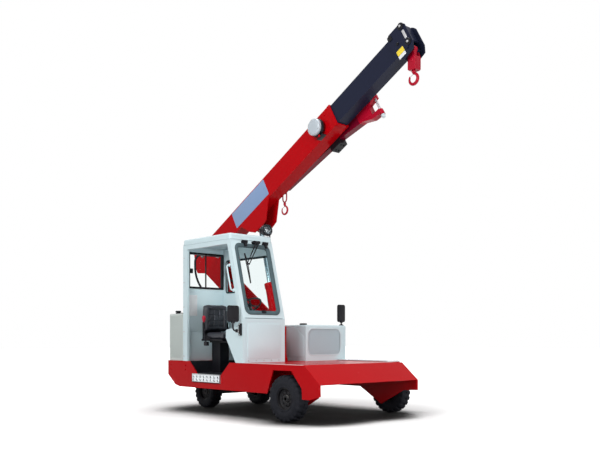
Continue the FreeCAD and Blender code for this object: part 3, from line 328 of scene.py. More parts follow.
# ---------------------------------------------------------------- materials
def surfaced(name, group, values, bump=0.15, grain=0.0004, **plain):
    """A material whose colour, roughness and height come from a group, the rest from plain values."""
    material = bpy.data.materials.new(name)
    material.use_nodes = True
    wire = Wiring(material.node_tree)
    shader = material.node_tree.nodes["Principled BSDF"]
    source = wire.node("ShaderNodeGroup", node_tree=group)
    for label, value in values.items():
        wire.feed(source.inputs[label], value)
    wire.feed(shader.inputs["Base Color"], source.outputs["Colour"])
    wire.feed(shader.inputs["Roughness"], source.outputs["Roughness"])
    relief = wire.node("ShaderNodeBump")
    relief.inputs["Strength"].default_value = bump
    relief.inputs["Distance"].default_value = grain
    wire.feed(relief.inputs["Height"], source.outputs["Height"])
    wire.feed(shader.inputs["Normal"], relief.outputs["Normal"])
    for label, value in plain.items():
        wire.feed(shader.inputs[label.replace("_", " ")], value)
    return material


def paint(name, colour, dust=0.25, film=0.25, gloss=0.22, peel=420.0, coat=0.5, specular=0.5):
    """Sprayed paint, with a little settled dust and road film."""
    return surfaced(name, COAT, {"Colour": colour, "Dust Colour": (0.42, 0.39, 0.35), "Dust": dust,
                                 "Film": film, "Gloss Roughness": gloss, "Peel Scale": peel},
                    bump=0.10, grain=0.0003, Coat_Weight=coat, Coat_Roughness=0.08,
                    Specular_IOR_Level=specular)


def split_paint(name, near, colour, turn_at):
    """A copy of a paint whose colour changes at a distance along the boom."""
    material = near.copy()
    material.name = name
    wire = Wiring(material.node_tree)
    along = wire.node("ShaderNodeVectorMath", operation="DOT_PRODUCT")
    wire.feed(along.inputs[0], wire.node("ShaderNodeTexCoord").outputs["Object"])
    direction = BOOM.to_3x3().col[0]
    along.inputs[1].default_value = direction
    limit = BOOM.translation.dot(direction) + turn_at
    group = next(node for node in material.node_tree.nodes if node.type == "GROUP")
    first = tuple(group.inputs["Colour"].default_value)[:3]
    beyond = wire.math("GREATER_THAN", along.outputs["Value"], limit)
    wire.feed(group.inputs["Colour"], wire.mix(beyond, first, colour))
    return material


def rubber(name, colour, bloom=0.35, grain_scale=600.0):
    """Moulded rubber with a dull bloom."""
    return surfaced(name, RUBBER, {"Colour": colour, "Bloom Colour": (0.030, 0.031, 0.038),
                                   "Bloom": bloom, "Grain Scale": grain_scale}, bump=0.25,
                    grain=0.0005, Specular_IOR_Level=0.12)


def metal(name, colour, roughness, stretch=(60, 60, 60), stain=0.25):
    """Bare metal, brushed along the way with the smallest stretch."""
    return surfaced(name, METAL, {"Colour": colour, "Stain Colour": (0.16, 0.15, 0.14), "Stain": stain,
                                  "Stretch": stretch, "Base Roughness": roughness},
                    bump=0.08, grain=0.0003, Metallic=1.0)


def plastic(name, colour, roughness=0.42):
    """Moulded plastic with a fine grain."""
    return surfaced(name, COAT, {"Colour": colour, "Dust Colour": (0.30, 0.29, 0.27), "Dust": 0.06,
                                 "Film": 0.05, "Gloss Roughness": roughness, "Peel Scale": 900.0},
                    bump=0.2, grain=0.0003, Specular_IOR_Level=0.18)


def clear(name, colour, roughness=0.02):
    """Plain see-through glass."""
    material = bpy.data.materials.new(name)
    material.use_nodes = True
    shader = material.node_tree.nodes["Principled BSDF"]
    shader.inputs["Base Color"].default_value = (*colour, 1)
    shader.inputs["Roughness"].default_value = roughness
    shader.inputs["Transmission Weight"].default_value = 1.0
    shader.inputs["IOR"].default_value = 1.05
    return material


RED = paint("red_gloss", (0.46, 0.0012, 0.0045), dust=0.004, film=0.006, coat=0.0, specular=0.05)
CRIMSON = (0.42, 0.003, 0.022)
RED_HOOK = paint("crimson_gloss", CRIMSON, dust=0.01, film=0.0, gloss=0.30, coat=0.0, specular=0.16)
MAROON = paint("maroon_gloss", (0.17, 0.002, 0.017), dust=0.01, film=0.0, gloss=0.32, coat=0.0,
               specular=0.12)
JIB = split_paint("jib_gloss", MAROON, CRIMSON, 3.56)
WHITE = paint("white_gloss", (0.61, 0.75, 0.79), dust=0.05, film=0.05, coat=0.2, specular=0.35)
GREY = paint("grey_satin", (0.40, 0.48, 0.48), dust=0.08, film=0.08, gloss=0.4, coat=0.0)
TANK_GREY = paint("tank_grey", (0.56, 0.61, 0.59), dust=0.06, film=0.06, gloss=0.4, coat=0.0,
                  specular=0.3)
MESH_GREY = paint("mesh_grey", (0.60, 0.70, 0.74), dust=0.05, film=0.05, gloss=0.4, coat=0.0,
                  specular=0.3)
REEL_GREY = paint("reel_grey", (0.46, 0.52, 0.57), dust=0.04, film=0.0, gloss=0.22, coat=0.3,
                  specular=0.5)
BRIGHT_PIN = paint("bright_pin", (0.62, 0.70, 0.74), dust=0.0, film=0.0, gloss=0.18, coat=0.5)
NAVY = paint("navy_satin", (0.010, 0.013, 0.032), dust=0.01, film=0.0, gloss=0.36, coat=0.0,
             specular=0.10)
BLACK = paint("black_satin", (0.006, 0.006, 0.009), dust=0.04, film=0.05, gloss=0.38, coat=0.0,
              specular=0.15)
CAST = paint("cast_grey", (0.09, 0.09, 0.095), dust=0.4, film=0.4, gloss=0.6, peel=150.0, coat=0.0)
PANEL_BLUE = paint("panel_blue", (0.19, 0.30, 0.52), dust=0.05, film=0.0, gloss=0.3)
LABEL_WHITE = paint("label_white", (0.78, 0.80, 0.82), dust=0.05, film=0.0, gloss=0.35, coat=0.2)
LABEL_YELLOW = paint("label_yellow", (0.80, 0.60, 0.02), dust=0.05, film=0.0, gloss=0.35, coat=0.2)
SEAL = rubber("seal_rubber", (0.030, 0.045, 0.052), bloom=0.5)
SEAL_GREY = rubber("seal_grey", (0.085, 0.13, 0.145), bloom=0.3)
TYRE = rubber("tyre_rubber", (0.009, 0.010, 0.014), bloom=0.5, grain_scale=380.0)
VINYL = surfaced("seat_vinyl", WEAVE, {"Colour": (0.012, 0.014, 0.022),
                                       "Worn Colour": (0.030, 0.032, 0.042), "Wear": 0.6,
                                       "Grain Scale": 900.0}, bump=0.3, grain=0.0005,
                 Specular_IOR_Level=0.5)
ALU = metal("brushed_alu", (0.62, 0.65, 0.67), 0.36, stretch=(20, 400, 400))
STEEL = metal("machined_steel", (0.52, 0.52, 0.53), 0.32, stretch=(200, 30, 200))
CHROME = metal("hard_chrome", (0.36, 0.49, 0.55), 0.20, stretch=(300, 300, 20), stain=0.05)
REFLECTOR = metal("lamp_reflector", (0.30, 0.33, 0.35), 0.24, stain=0.6)
MIRROR = metal("mirror_silver", (0.92, 0.93, 0.94), 0.06, stain=0.0)
PLASTIC = plastic("black_plastic", (0.006, 0.006, 0.009))
PLASTIC_RED = plastic("red_plastic", (0.42, 0.010, 0.030), 0.3)
MAT_RUBBER = rubber("floor_mat", (0.014, 0.015, 0.020), bloom=0.4)
GLASS = clear("clear_glass", (0.93, 0.97, 0.97))
LENS = clear("lamp_lens", (0.97, 0.98, 0.98), 0.05)

CAD_FINISH = {
    RED: ("side_skirt_right side_skirt_left chassis_frame nose_panel deck_plate front_deck "
          "counterweight mast boom_outer lift_barrel"),
    NAVY: "boom_inner boom_head",
    JIB: "stowed_jib",
    RED_HOOK: "hook_block hook jib_hook",
    WHITE: "engine_hood cab_side_frame cab_rear_wall cab_left_wall cab_front_panel cab_roof",
    TANK_GREY: "hydraulic_tank",
    GREY: "hood_grille",
    BLACK: ("front_rim_right front_rim_left rear_rim_right rear_rim_left rear_axle jib_clamp "
            "seat_pedestal"),
    CAST: "wheel_motors knuckle_right knuckle_left engine_block",
    ALU: "step_plate fender_tread cable_reel",
    STEEL: "boom_pivot_pin lift_base_pin",
    CHROME: "lift_rod",
    MAT_RUBBER: "cab_floor return_hose",
    TYRE: "front_tyre_right front_tyre_left rear_tyre_right rear_tyre_left",
    GLASS: "rear_glass left_glass windscreen",
    VINYL: "seat_cushion seat_backrest",
    PLASTIC: "tank_cap wiper work_lamp steering_console steering_wheel mirror_right mirror_left",
}


def finish_cad_nodes():
    """Gives every solid of the CAD its finish."""
    for material, names in CAD_FINISH.items():
        for name in names.split():
            for place in nodes[name].material_slots:
                place.material = material


# ---------------------------------------------------------------- drawing tools
PLANE_AXES = {"XZ": (0, 2, 1), "YZ": (1, 2, 0), "XY": (0, 1, 2)}
SHARP_ANGLE = 0.6


def corner(plane, u, v, level):
    """A point from two coordinates in a plane and its level along the third axis."""
    point = Vector()
    for axis, value in zip(PLANE_AXES[plane], (u, v, level)):
        point[axis] = value
    return point


def rounded(corners, radius, steps=6):
    """The outline with each corner replaced by an arc."""
    result = []
    for before, here, after in zip(corners[-1:] + corners[:-1], corners, corners[1:] + corners[:1]):
        here = Vector(here)
        back, ahead = (Vector(before) - here).normalized(), (Vector(after) - here).normalized()
        half = back.angle(ahead) / 2
        start, end = here + back * radius / math.tan(half), here + ahead * radius / math.tan(half)
        centre = here + (back + ahead).normalized() * radius / math.sin(half)
        for step in range(steps + 1):
            way = (start - centre).slerp(end - centre, step / steps)
            result.append(tuple(centre + way * radius))
    return result


def rectangle(u0, u1, v0, v1):
    """The corners of a rectangle from its two ranges."""
    return [(u0, v0), (u1, v0), (u1, v1), (u0, v1)]


def smooth_line(points, steps=8):
    """A smooth line through a few points."""
    points = [Vector(point) for point in points]
    padded = [points[0] * 2 - points[1]] + points + [points[-1] * 2 - points[-2]]
    line = []
    for p0, p1, p2, p3 in zip(padded, padded[1:], padded[2:], padded[3:]):
        for step in range(steps):
            t = step / steps
            line.append(0.5 * (2 * p1 + (p2 - p0) * t + (2 * p0 - 5 * p1 + 4 * p2 - p3) * t ** 2
                               + (3 * p1 - p0 - 3 * p2 + p3) * t ** 3))
    return line + [points[-1]]


class Maker:
    """Solids drawn in one set of axes and handed over as one piece."""

    def __init__(self, material, axes=MACHINE):
        self.axes = axes
        self.mesh = bmesh.new()
        self.materials = []
        self.use(material)

    def use(self, material):
        """What is drawn next has this material."""
        if material not in self.materials:
            self.materials.append(material)
        self.index = self.materials.index(material)
        return self

    def take(self, solid, bevel=0.0):
        """Turns a drawn solid's faces outward, rounds its sharp edges and adds it."""
        bmesh.ops.remove_doubles(solid, verts=solid.verts, dist=1e-6)
        bmesh.ops.recalc_face_normals(solid, faces=solid.faces)
        if bevel:
            sharp = [edge for edge in solid.edges if edge.calc_face_angle(0) > 0.5]
            bmesh.ops.bevel(solid, geom=sharp, offset=bevel, segments=2, profile=0.6,
                            affect="EDGES", clamp_overlap=True)
        part = bpy.data.meshes.new("part")
        solid.to_mesh(part)
        solid.free()
        self.add_mesh(part)

    def add_mesh(self, mesh):
        """Adds a plain mesh in the current material."""
        first = len(self.mesh.faces)
        self.mesh.from_mesh(mesh)
        self.mesh.faces.ensure_lookup_table()
        for face in self.mesh.faces[first:]:
            face.material_index = self.index
        bpy.data.meshes.remove(mesh)
        return self

    def block(self, low, high, bevel=0.002, turn=None):
        """A box between two corners, turned about its middle."""
        low, high = Vector(low), Vector(high)
        place = Matrix.Translation((low + high) / 2) @ (turn or Matrix())
        solid = bmesh.new()
        bmesh.ops.create_cube(solid, size=1.0, matrix=place @ Matrix.Diagonal((*(high - low), 1)))
        self.take(solid, bevel)
        return self

    def prism(self, plane, outline, start, end, bevel=0.0015):
        """An outline in a plane, drawn out from one level to another."""
        solid = bmesh.new()
        near, far = [[solid.verts.new(corner(plane, u, v, level)) for u, v in outline]
                     for level in (start, end)]
        solid.faces.new(near)
        solid.faces.new(far)
        for index, vert in enumerate(near):
            solid.faces.new((vert, near[index - 1], far[index - 1], far[index]))
        self.take(solid, bevel)
        return self

    def plate(self, plane, sides, radius, start, end, bevel=0.0015, steps=6):
        """A rounded rectangle drawn out from one level to another."""
        return self.prism(plane, rounded(rectangle(*sides), radius, steps), start, end, bevel)

    def bolts(self, way, radius, points):
        """Hexagon bolts of the current material at some points, standing along a direction."""
        return self.add_mesh(copies_at(hex_bolt(self.materials[self.index], way, radius), points))

    def rod(self, start, end, radius, sides=24, bevel=0.001):
        """A round bar between two points."""
        start, end = Vector(start), Vector(end)
        way = end - start
        place = Matrix.Translation((start + end) / 2) @ way.to_track_quat("Z", "Y").to_matrix().to_4x4()
        solid = bmesh.new()
        bmesh.ops.create_cone(solid, cap_ends=True, segments=sides, radius1=radius, radius2=radius,
                              depth=way.length, matrix=place)
        self.take(solid, bevel)
        return self

    def lathe(self, profile, centre=(0, 0, 0), way=(0, 1, 0), sides=48, closed=True):
        """Turns (distance along the way, radius) pairs about a line through the centre."""
        place = Matrix.Translation(centre) @ Vector(way).to_track_quat("Z", "Y").to_matrix().to_4x4()
        solid = bmesh.new()
        rings = []
        for along, radius in profile:
            turns = range(sides) if radius > 1e-5 else range(1)
            rings.append([solid.verts.new(place @ Vector((
                radius * math.cos(math.tau * turn / sides), radius * math.sin(math.tau * turn / sides),
                along))) for turn in turns])
        for first, second in zip(rings, rings[1:] + (rings[:1] if closed else [])):
            for turn in range(sides if len(first) + len(second) > 2 else 0):
                near = [first[turn - 1], first[turn]] if len(first) > 1 else first
                far = [second[turn], second[turn - 1]] if len(second) > 1 else second
                solid.faces.new(near + far)
        self.take(solid)
        return self

    def tube(self, points, radius, sides=12, closed=False, squash=1.0):
        """A round bar along a line of points; radius is a number or one number for each point."""
        points = [Vector(point) for point in points]
        radii = radius if hasattr(radius, "__len__") else [radius] * len(points)
        solid = bmesh.new()
        rings = []
        across = None
        for index, point in enumerate(points):
            ahead = points[(index + 1) % len(points)] if closed or index + 1 < len(points) else point
            behind = points[index - 1] if closed or index else point
            way = (ahead - behind).normalized()
            guess = across or (Vector((0, 1, 0)) if abs(way.y) < 0.9 else Vector((1, 0, 0)))
            across = (guess - way * guess.dot(way)).normalized()
            square = way.cross(across)
            rings.append([solid.verts.new(point + radii[index] * (
                across * math.cos(math.tau * turn / sides) * squash
                + square * math.sin(math.tau * turn / sides))) for turn in range(sides)])
        for first, second in zip(rings, rings[1:] + (rings[:1] if closed else [])):
            for turn in range(sides):
                solid.faces.new((first[turn - 1], first[turn], second[turn], second[turn - 1]))
        if not closed:
            solid.faces.new(rings[0])
            solid.faces.new(rings[-1])
        self.take(solid)
        return self

    def band(self, plane, path, profile, level=0.0):
        """A closed profile of (outward, up) pairs swept round a closed outline in a plane."""
        path = [Vector(point) for point in path]
        area = sum(a.x * b.y - a.y * b.x for a, b in zip(path, path[1:] + path[:1]))
        if area < 0:
            path.reverse()
        solid = bmesh.new()
        rings = []
        for before, here, after in zip(path[-1:] + path[:-1], path, path[1:] + path[:1]):
            into = (here - before).normalized()
            along = (into + (after - here).normalized()).normalized()
            outward = Vector((along.y, -along.x)) / max(0.5, along.dot(into))
            rings.append([solid.verts.new(corner(plane, *(here + outward * out), level + up))
                          for out, up in profile])
        for first, second in zip(rings, rings[1:] + rings[:1]):
            for index in range(len(profile)):
                solid.faces.new((first[index - 1], first[index], second[index], second[index - 1]))
        self.take(solid)
        return self

    def bend(self, change):
        """Moves every point drawn so far by a rule."""
        for vert in self.mesh.verts:
            vert.co = change(vert.co)
        return self

    def plain_mesh(self, name):
        """The drawn solids as a mesh, in the axes they were drawn in."""
        mesh = bpy.data.meshes.new(name)
        self.mesh.to_mesh(mesh)
        self.mesh.free()
        for material in self.materials:
            mesh.materials.append(material)
        return mesh

    def finish(self, name, body, replaces=()):
        """Hands the drawn solids over as one piece that rides on a body."""
        mesh = self.plain_mesh(name)
        mesh.transform(self.axes)
        mesh.shade_smooth()
        mesh.set_sharp_from_angle(angle=SHARP_ANGLE)
        piece = bpy.data.objects.new(name, mesh)
        bpy.context.collection.objects.link(piece)
        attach(piece, body)
        if replaces:
            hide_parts(*replaces)
        return piece


# ---------------------------------------------------------------- trees for what repeats
class Growing(Wiring):
    """A Geometry Nodes tree with named inputs; it ends in Realize Instances and Set Material."""

    def __init__(self, name, inputs):
        super().__init__(bpy.data.node_groups.new(name, "GeometryNodeTree"))
        self.tree.interface.new_socket("Geometry", in_out="INPUT", socket_type="NodeSocketGeometry")
        for label, kind in inputs + [("Copied Piece", "Object"), ("Material", "Material")]:
            self.tree.interface.new_socket(label, in_out="INPUT", socket_type="NodeSocket" + kind)
        self.tree.interface.new_socket("Geometry", in_out="OUTPUT", socket_type="NodeSocketGeometry")
        self.given = self.node("NodeGroupInput").outputs

    def scaled(self, vector, factor):
        """A vector times a factor."""
        item = self.node("ShaderNodeVectorMath", operation="SCALE")
        self.feed(item.inputs[0], vector)
        self.feed(item.inputs["Scale"], factor)
        return item.outputs[0]

    def points_at_origin(self, count):
        """A number of points, all at the origin."""
        line = self.node("GeometryNodeMeshLine", mode="OFFSET")
        self.feed(line.inputs["Count"], count)
        line.inputs["Offset"].default_value = (0, 0, 0)
        return line.outputs["Mesh"]

    def copies(self, points, rotation=None):
        """Puts the copied piece on the points and closes the tree."""
        source = self.node("GeometryNodeObjectInfo", transform_space="ORIGINAL")
        self.feed(source.inputs["Object"], self.given["Copied Piece"])
        spread = self.node("GeometryNodeInstanceOnPoints")
        self.feed(spread.inputs["Points"], points)
        self.feed(spread.inputs["Instance"], source.outputs["Geometry"])
        if rotation is not None:
            self.feed(spread.inputs["Rotation"], rotation)
        real = self.node("GeometryNodeRealizeInstances")
        self.feed(real.inputs["Geometry"], spread.outputs["Instances"])
        coated = self.node("GeometryNodeSetMaterial")
        self.feed(coated.inputs["Geometry"], real.outputs["Geometry"])
        self.feed(coated.inputs["Material"], self.given["Material"])
        self.feed(self.node("NodeGroupOutput").inputs[0], coated.outputs["Geometry"])
        return self.tree


def make_ring_tree():
    """Copies turned about the Y axis: lugs round a tyre, nuts round a hub."""
    growing = Growing("ring_of_copies", [("Count", "Int"), ("First Angle", "Float")])
    number = growing.node("GeometryNodeInputIndex").outputs[0]
    step = growing.math("DIVIDE", math.tau, growing.given["Count"])
    turn = growing.math("ADD", growing.math("MULTIPLY", number, step), growing.given["First Angle"])
    spin = growing.node("ShaderNodeCombineXYZ")
    growing.feed(spin.inputs["Y"], turn)
    return growing.copies(growing.points_at_origin(growing.given["Count"]), spin.outputs[0])


def make_grid_tree():
    """Copies in columns and rows: mesh wires, ribs, tread studs, rivets."""
    growing = Growing("grid_of_copies", [("Columns", "Int"), ("Rows", "Int"),
                                         ("Column Step", "Vector"), ("Row Step", "Vector")])
    given = growing.given
    number = growing.node("GeometryNodeInputIndex").outputs[0]
    row = growing.math("FLOOR", growing.math("DIVIDE", growing.math("ADD", number, 0.5),
                                             given["Columns"]))
    column = growing.math("SUBTRACT", number, growing.math("MULTIPLY", row, given["Columns"]))
    total = growing.node("ShaderNodeVectorMath", operation="ADD")
    growing.feed(total.inputs[0], growing.scaled(given["Column Step"], column))
    growing.feed(total.inputs[1], growing.scaled(given["Row Step"], row))
    count = growing.math("MULTIPLY", given["Columns"], given["Rows"])
    spread = growing.node("GeometryNodeSetPosition")
    growing.feed(spread.inputs["Geometry"], growing.points_at_origin(count))
    growing.feed(spread.inputs["Position"], total.outputs[0])
    return growing.copies(spread.outputs["Geometry"])


def make_point_tree():
    """Copies on given points: bolts where plates meet."""
    growing = Growing("copies_on_points", [])
    return growing.copies(growing.given["Geometry"])


RING_TREE = make_ring_tree()
GRID_TREE = make_grid_tree()
POINT_TREE = make_point_tree()


def grown(tree, pattern, points=(), **values):
    """Runs a tree on a pattern and gives back one plain mesh."""
    copied = bpy.data.objects.new("copied_piece", pattern.plain_mesh("copied_piece"))
    seed = bpy.data.meshes.new("seed")
    seed.from_pydata([tuple(point) for point in points], [], [])
    host = bpy.data.objects.new("host", seed)
    for item in (copied, host):
        bpy.context.collection.objects.link(item)
    growth = host.modifiers.new("growth", "NODES")
    growth.node_group = tree
    values = {label.replace("_", " ").title(): value for label, value in values.items()}
    values.update({"Copied Piece": copied, "Material": pattern.materials[0]})
    for socket in tree.interface.items_tree:
        if socket.in_out == "INPUT" and socket.name in values:
            growth[socket.identifier] = values[socket.name]
    view = bpy.context.evaluated_depsgraph_get()
    mesh = bpy.data.meshes.new_from_object(host.evaluated_get(view), depsgraph=view)
    host.modifiers.remove(growth)
    for item in (copied, host):
        data = item.data
        bpy.data.objects.remove(item)
        bpy.data.meshes.remove(data)
    return mesh


def ring_of(pattern, count, first_angle=0.0, place=None):
    """Copies round the Y axis, or round that axis of a place."""
    mesh = grown(RING_TREE, pattern, count=count, first_angle=first_angle)
    if place is not None:
        mesh.transform(place)
    return mesh


def grid_of(pattern, columns, rows, column_step, row_step=(0, 0, 0)):
    """Copies in columns and rows, a step apart."""
    return grown(GRID_TREE, pattern, columns=columns, rows=rows, column_step=column_step,
                 row_step=row_step)


def copies_at(pattern, points):
    """Copies on a list of points."""
    return grown(POINT_TREE, pattern, points)


def hex_bolt(material, way, radius=0.011, at=(0, 0, 0)):
    """A hexagon head on its washer, standing along a direction."""
    way, at = Vector(way).normalized(), Vector(at)
    bolt = Maker(material)
    bolt.rod(at, at + way * radius * 0.25, radius * 1.35, sides=16, bevel=0.0006)
    bolt.rod(at + way * radius * 0.25, at + way * radius, radius, sides=6, bevel=0.0008)
    bolt.rod(at + way * radius, at + way * radius * 1.25, radius * 0.45, sides=10, bevel=0.0005)
    return bolt


# ---------------------------------------------------------------- wheels
LUG_DEPTH = 0.016
TYRE_HALF, RIM_HALF = 0.0948, 0.095
# name, distance ahead of the front axle, half track, tyre radius, rim radius, lugs in a row
AXLES = (("front", 0, 0.979, 0.30, 0.14, 22), ("rear", -2.40, 0.50, 0.25, 0.125, 20))


def tyre_carcass(maker, radius, half, rim_r):
    """Rounded sidewalls with a rib above the bead, and the smooth belt that the lugs stand on."""
    base = radius - LUG_DEPTH
    middle_r = (rim_r + radius) / 2
    side = [(0.014, rim_r + 0.003), (0.006, rim_r + 0.010), (0.005, rim_r + 0.022),
            (0.0085, rim_r + 0.026), (0.004, rim_r + 0.034), (0.001, middle_r - 0.012),
            (0.001, middle_r + 0.012), (0.0045, base - 0.045), (0.0015, base - 0.041),
            (0.002, base - 0.036), (0.010, base - 0.020), (0.018, base - 0.006), (0.032, base)]
    profile = [(inset - half, r) for inset, r in side] + [(half - inset, r) for inset, r in side[::-1]]
    maker.lathe(profile, sides=96)


def tread_lug(radius, half, width, side):
    """One block from the middle of the tread over a shoulder, skewed like its neighbours."""
    base = radius - LUG_DEPTH
    outline = [(0.006, base - 0.008), (0.004, radius - 0.0015), (half - 0.034, radius - 0.0015),
               (half - 0.010, radius - 0.014), (half - 0.002, base - 0.034),
               (half - 0.006, base - 0.040), (half - 0.022, base - 0.022)]
    lug = Maker(TYRE)
    lug.prism("YZ", [(side * y, z) for y, z in outline], -width / 2, width / 2, bevel=0.0028)
    return lug.bend(lambda place: Vector((place.x + 0.22 * side * (abs(place.y) - half / 2),
                                          place.y, place.z)))


def add_tyre(node, body, centre, radius, half, rim_r, count):
    """One tyre: carcass and two rows of lugs half a pitch apart."""
    tyre = Maker(TYRE, MACHINE @ Matrix.Translation(centre))
    tyre_carcass(tyre, radius, half, rim_r)
    pitch = math.tau / count
    for side in (-1, 1):
        lug = tread_lug(radius, half, radius * pitch * 0.56, side)
        tyre.add_mesh(ring_of(lug, count, pitch / 2 * (side > 0)))
    tyre.finish(node + "_tread", body, replaces=[node])


def add_rim(node, body, centre, half, rim_r, out):
    """A pressed rim with rolled edges, its dished disc, hub and wheel nuts."""
    edge = half - 0.020
    rim = Maker(BLACK, MACHINE @ Matrix.Translation(centre))
    seat = rim_r - 0.001
    lip = [(edge - 0.016, seat), (edge - 0.004, seat), (edge - 0.001, rim_r + 0.004),
           (edge, rim_r + 0.0005), (edge - 0.002, seat - 0.006), (edge - 0.016, seat - 0.009),
           (edge - 0.034, seat - 0.011), (edge - 0.040, seat - 0.022)]
    face = edge - 0.044
    dish = [(face - 0.002, rim_r * 0.74), (face + 0.010, rim_r * 0.66), (face + 0.012, rim_r * 0.50),
            (face + 0.004, rim_r * 0.40), (face + 0.004, 0.046), (face - 0.008, 0.046),
            (face - 0.008, rim_r * 0.45), (face - 0.002, rim_r * 0.66), (face - 0.012, seat - 0.020),
            (face - 0.012, seat - 0.009), (-edge, seat - 0.009), (-edge, seat), (-edge + 0.014, seat)]
    rim.lathe([(along * out, r) for along, r in lip + dish], sides=72)
    outer = face + 0.012
    rim.lathe([(along * out, r) for along, r in ((face - 0.01, 0.0), (face - 0.01, 0.0445),
                                                 (outer + 0.012, 0.044), (outer + 0.017, 0.039),
                                                 (outer + 0.018, 0.022), (outer + 0.012, 0.020),
                                                 (outer + 0.012, 0.0))], sides=36)
    nut = hex_bolt(BLACK, (0, out, 0), 0.010, at=(0, outer * out, rim_r * 0.575))
    rim.add_mesh(ring_of(nut, 8))
    rim.rod((0, outer * out, rim_r * 0.74), (0, (outer + 0.022) * out, rim_r * 0.72), 0.004, sides=10)
    rim.finish(node + "_pressed", body, replaces=[node])


def add_wheels():
    """Tyres and rims of both axles."""
    for side, name in ((-1, "right"), (1, "left")):
        for axle, x, track, radius, rim_r, lugs in AXLES:
            centre, body = (x, side * track, radius), f"{axle}_wheel_{name}"
            add_tyre(f"{axle}_tyre_{name}", body, centre, radius, TYRE_HALF, rim_r, lugs)
            add_rim(f"{axle}_rim_{name}", body, centre, RIM_HALF, rim_r, side)


def add_axle_details():
    """Caps over the kingpins with their bolts, and the bolts of the axle's post."""
    axle_x = AXLES[1][1]
    caps = Maker(CAST)
    for side in (-1, 1):
        y = side * 0.33
        caps.lathe([(0.338, 0.0), (0.338, 0.044), (0.344, 0.042), (0.350, 0.020), (0.351, 0.0)],
                   (axle_x, y, 0), (0, 0, 1), sides=28)
        caps.bolts((0, 0, 1), 0.007, [(axle_x + 0.032 * math.cos(turn), y + 0.032 * math.sin(turn),
                                       0.342) for turn in (0.8, 2.35, 3.9, 5.5)])
    caps.bolts((0, 0, -1), 0.013, [(x, y, 0.53) for x in (-2.52, -2.28) for y in (-0.14, 0.14)])
    caps.finish("axle_caps_and_bolts", "vehicle")


# ---------------------------------------------------------------- windows
def screen_outline(inset=0.0):
    """The rounded opening of the windscreen, drawn in by an inset."""
    return rounded(rectangle(-0.981 + inset, -0.386 - inset, 0.07 + inset, 1.067 - inset),
                   0.075 - inset * 0.8, 8)


def left_pane_outline():
    """The left pane: raked in front, stepped over the sill behind."""
    lean, pillar = math.tan(RAKE), 0.06
    low, high = CAB_SILL_Z + 0.07, 2.24
    front_low, front_high = [CAB_FRONT_X - (z - CAB_SILL_Z) * lean - pillar for z in (low, high)]
    return rounded([(-2.16, high), (-2.16, CAB_SILL_Z + 0.42), (-1.79, CAB_SILL_Z + 0.42),
                    (-1.58, low), (front_low, low), (front_high, high)], 0.045)


def add_window_seals():
    """The thick seal round the windscreen, the thin ones beside it and the sliding rear window."""
    seal = Maker(SEAL_GREY, SCREEN)
    seal.band("YZ", screen_outline(), [(0.012, -0.001), (0.012, 0.009), (0.004, 0.013),
                                       (-0.012, 0.012), (-0.034, 0.006), (-0.044, -0.002),
                                       (-0.044, -0.012), (0.0, -0.012)])
    seal.use(SEAL).band("YZ", screen_outline(0.004), [(0.0, 0.0), (0.0, -0.048), (-0.014, -0.044),
                                                      (-0.030, -0.030), (-0.030, -0.021),
                                                      (-0.010, -0.0205)])
    seal.band("YZ", screen_outline(), [(0.016, -0.001), (0.015, 0.004), (0.011, 0.005),
                                       (0.011, -0.001)])
    seal.use(PLASTIC).plate("YZ", (-0.715, -0.645, 0.075, 0.112), 0.008, 0.004, 0.024)
    seal.rod((0.02, -0.68, 0.095), (0.036, -0.68, 0.095), 0.012, sides=20)
    seal.finish("windscreen_seal", "vehicle")

    side = Maker(SEAL)
    side.band("XZ", left_pane_outline(), [(0.010, 0.0), (0.010, 0.004), (-0.010, 0.005),
                                          (-0.018, -0.002), (-0.018, -0.006), (0.0, -0.006)],
              level=CAB_LEFT)
    side.band("XZ", left_pane_outline(), [(0.008, 0.0), (-0.012, 0.0), (-0.016, -0.004), (0.0, -0.006),
                                          (0.008, -0.004)], level=CAB_LEFT - 0.036)
    side.finish("left_window_seal", "vehicle")

    slider = Maker(PLASTIC)
    opening = rounded(rectangle(-0.984, -0.351, 1.808, 2.330), 0.012, 3)
    slider.band("YZ", opening, [(0.008, 0.0), (0.008, 0.005), (-0.022, 0.005), (-0.024, -0.044),
                                (0.0, -0.044), (0.0, 0.0)], level=-2.222)
    for y, x in ((-0.668, -2.238), (-0.652, -2.258)):
        slider.block((x - 0.006, y - 0.009, 1.826), (x + 0.006, y + 0.009, 2.312), 0.0015)
    for y, way in ((-0.972, 1), (-0.363, -1)):
        slider.plate("YZ", (y - 0.014, y + way * 0.040 + 0.014, 2.025, 2.095), 0.008, -2.234, -2.206)
        slider.rod((-2.206, y + way * 0.020, 2.060), (-2.190, y + way * 0.020, 2.060), 0.012, sides=16)
    slider.finish("sliding_window_frame", "vehicle")


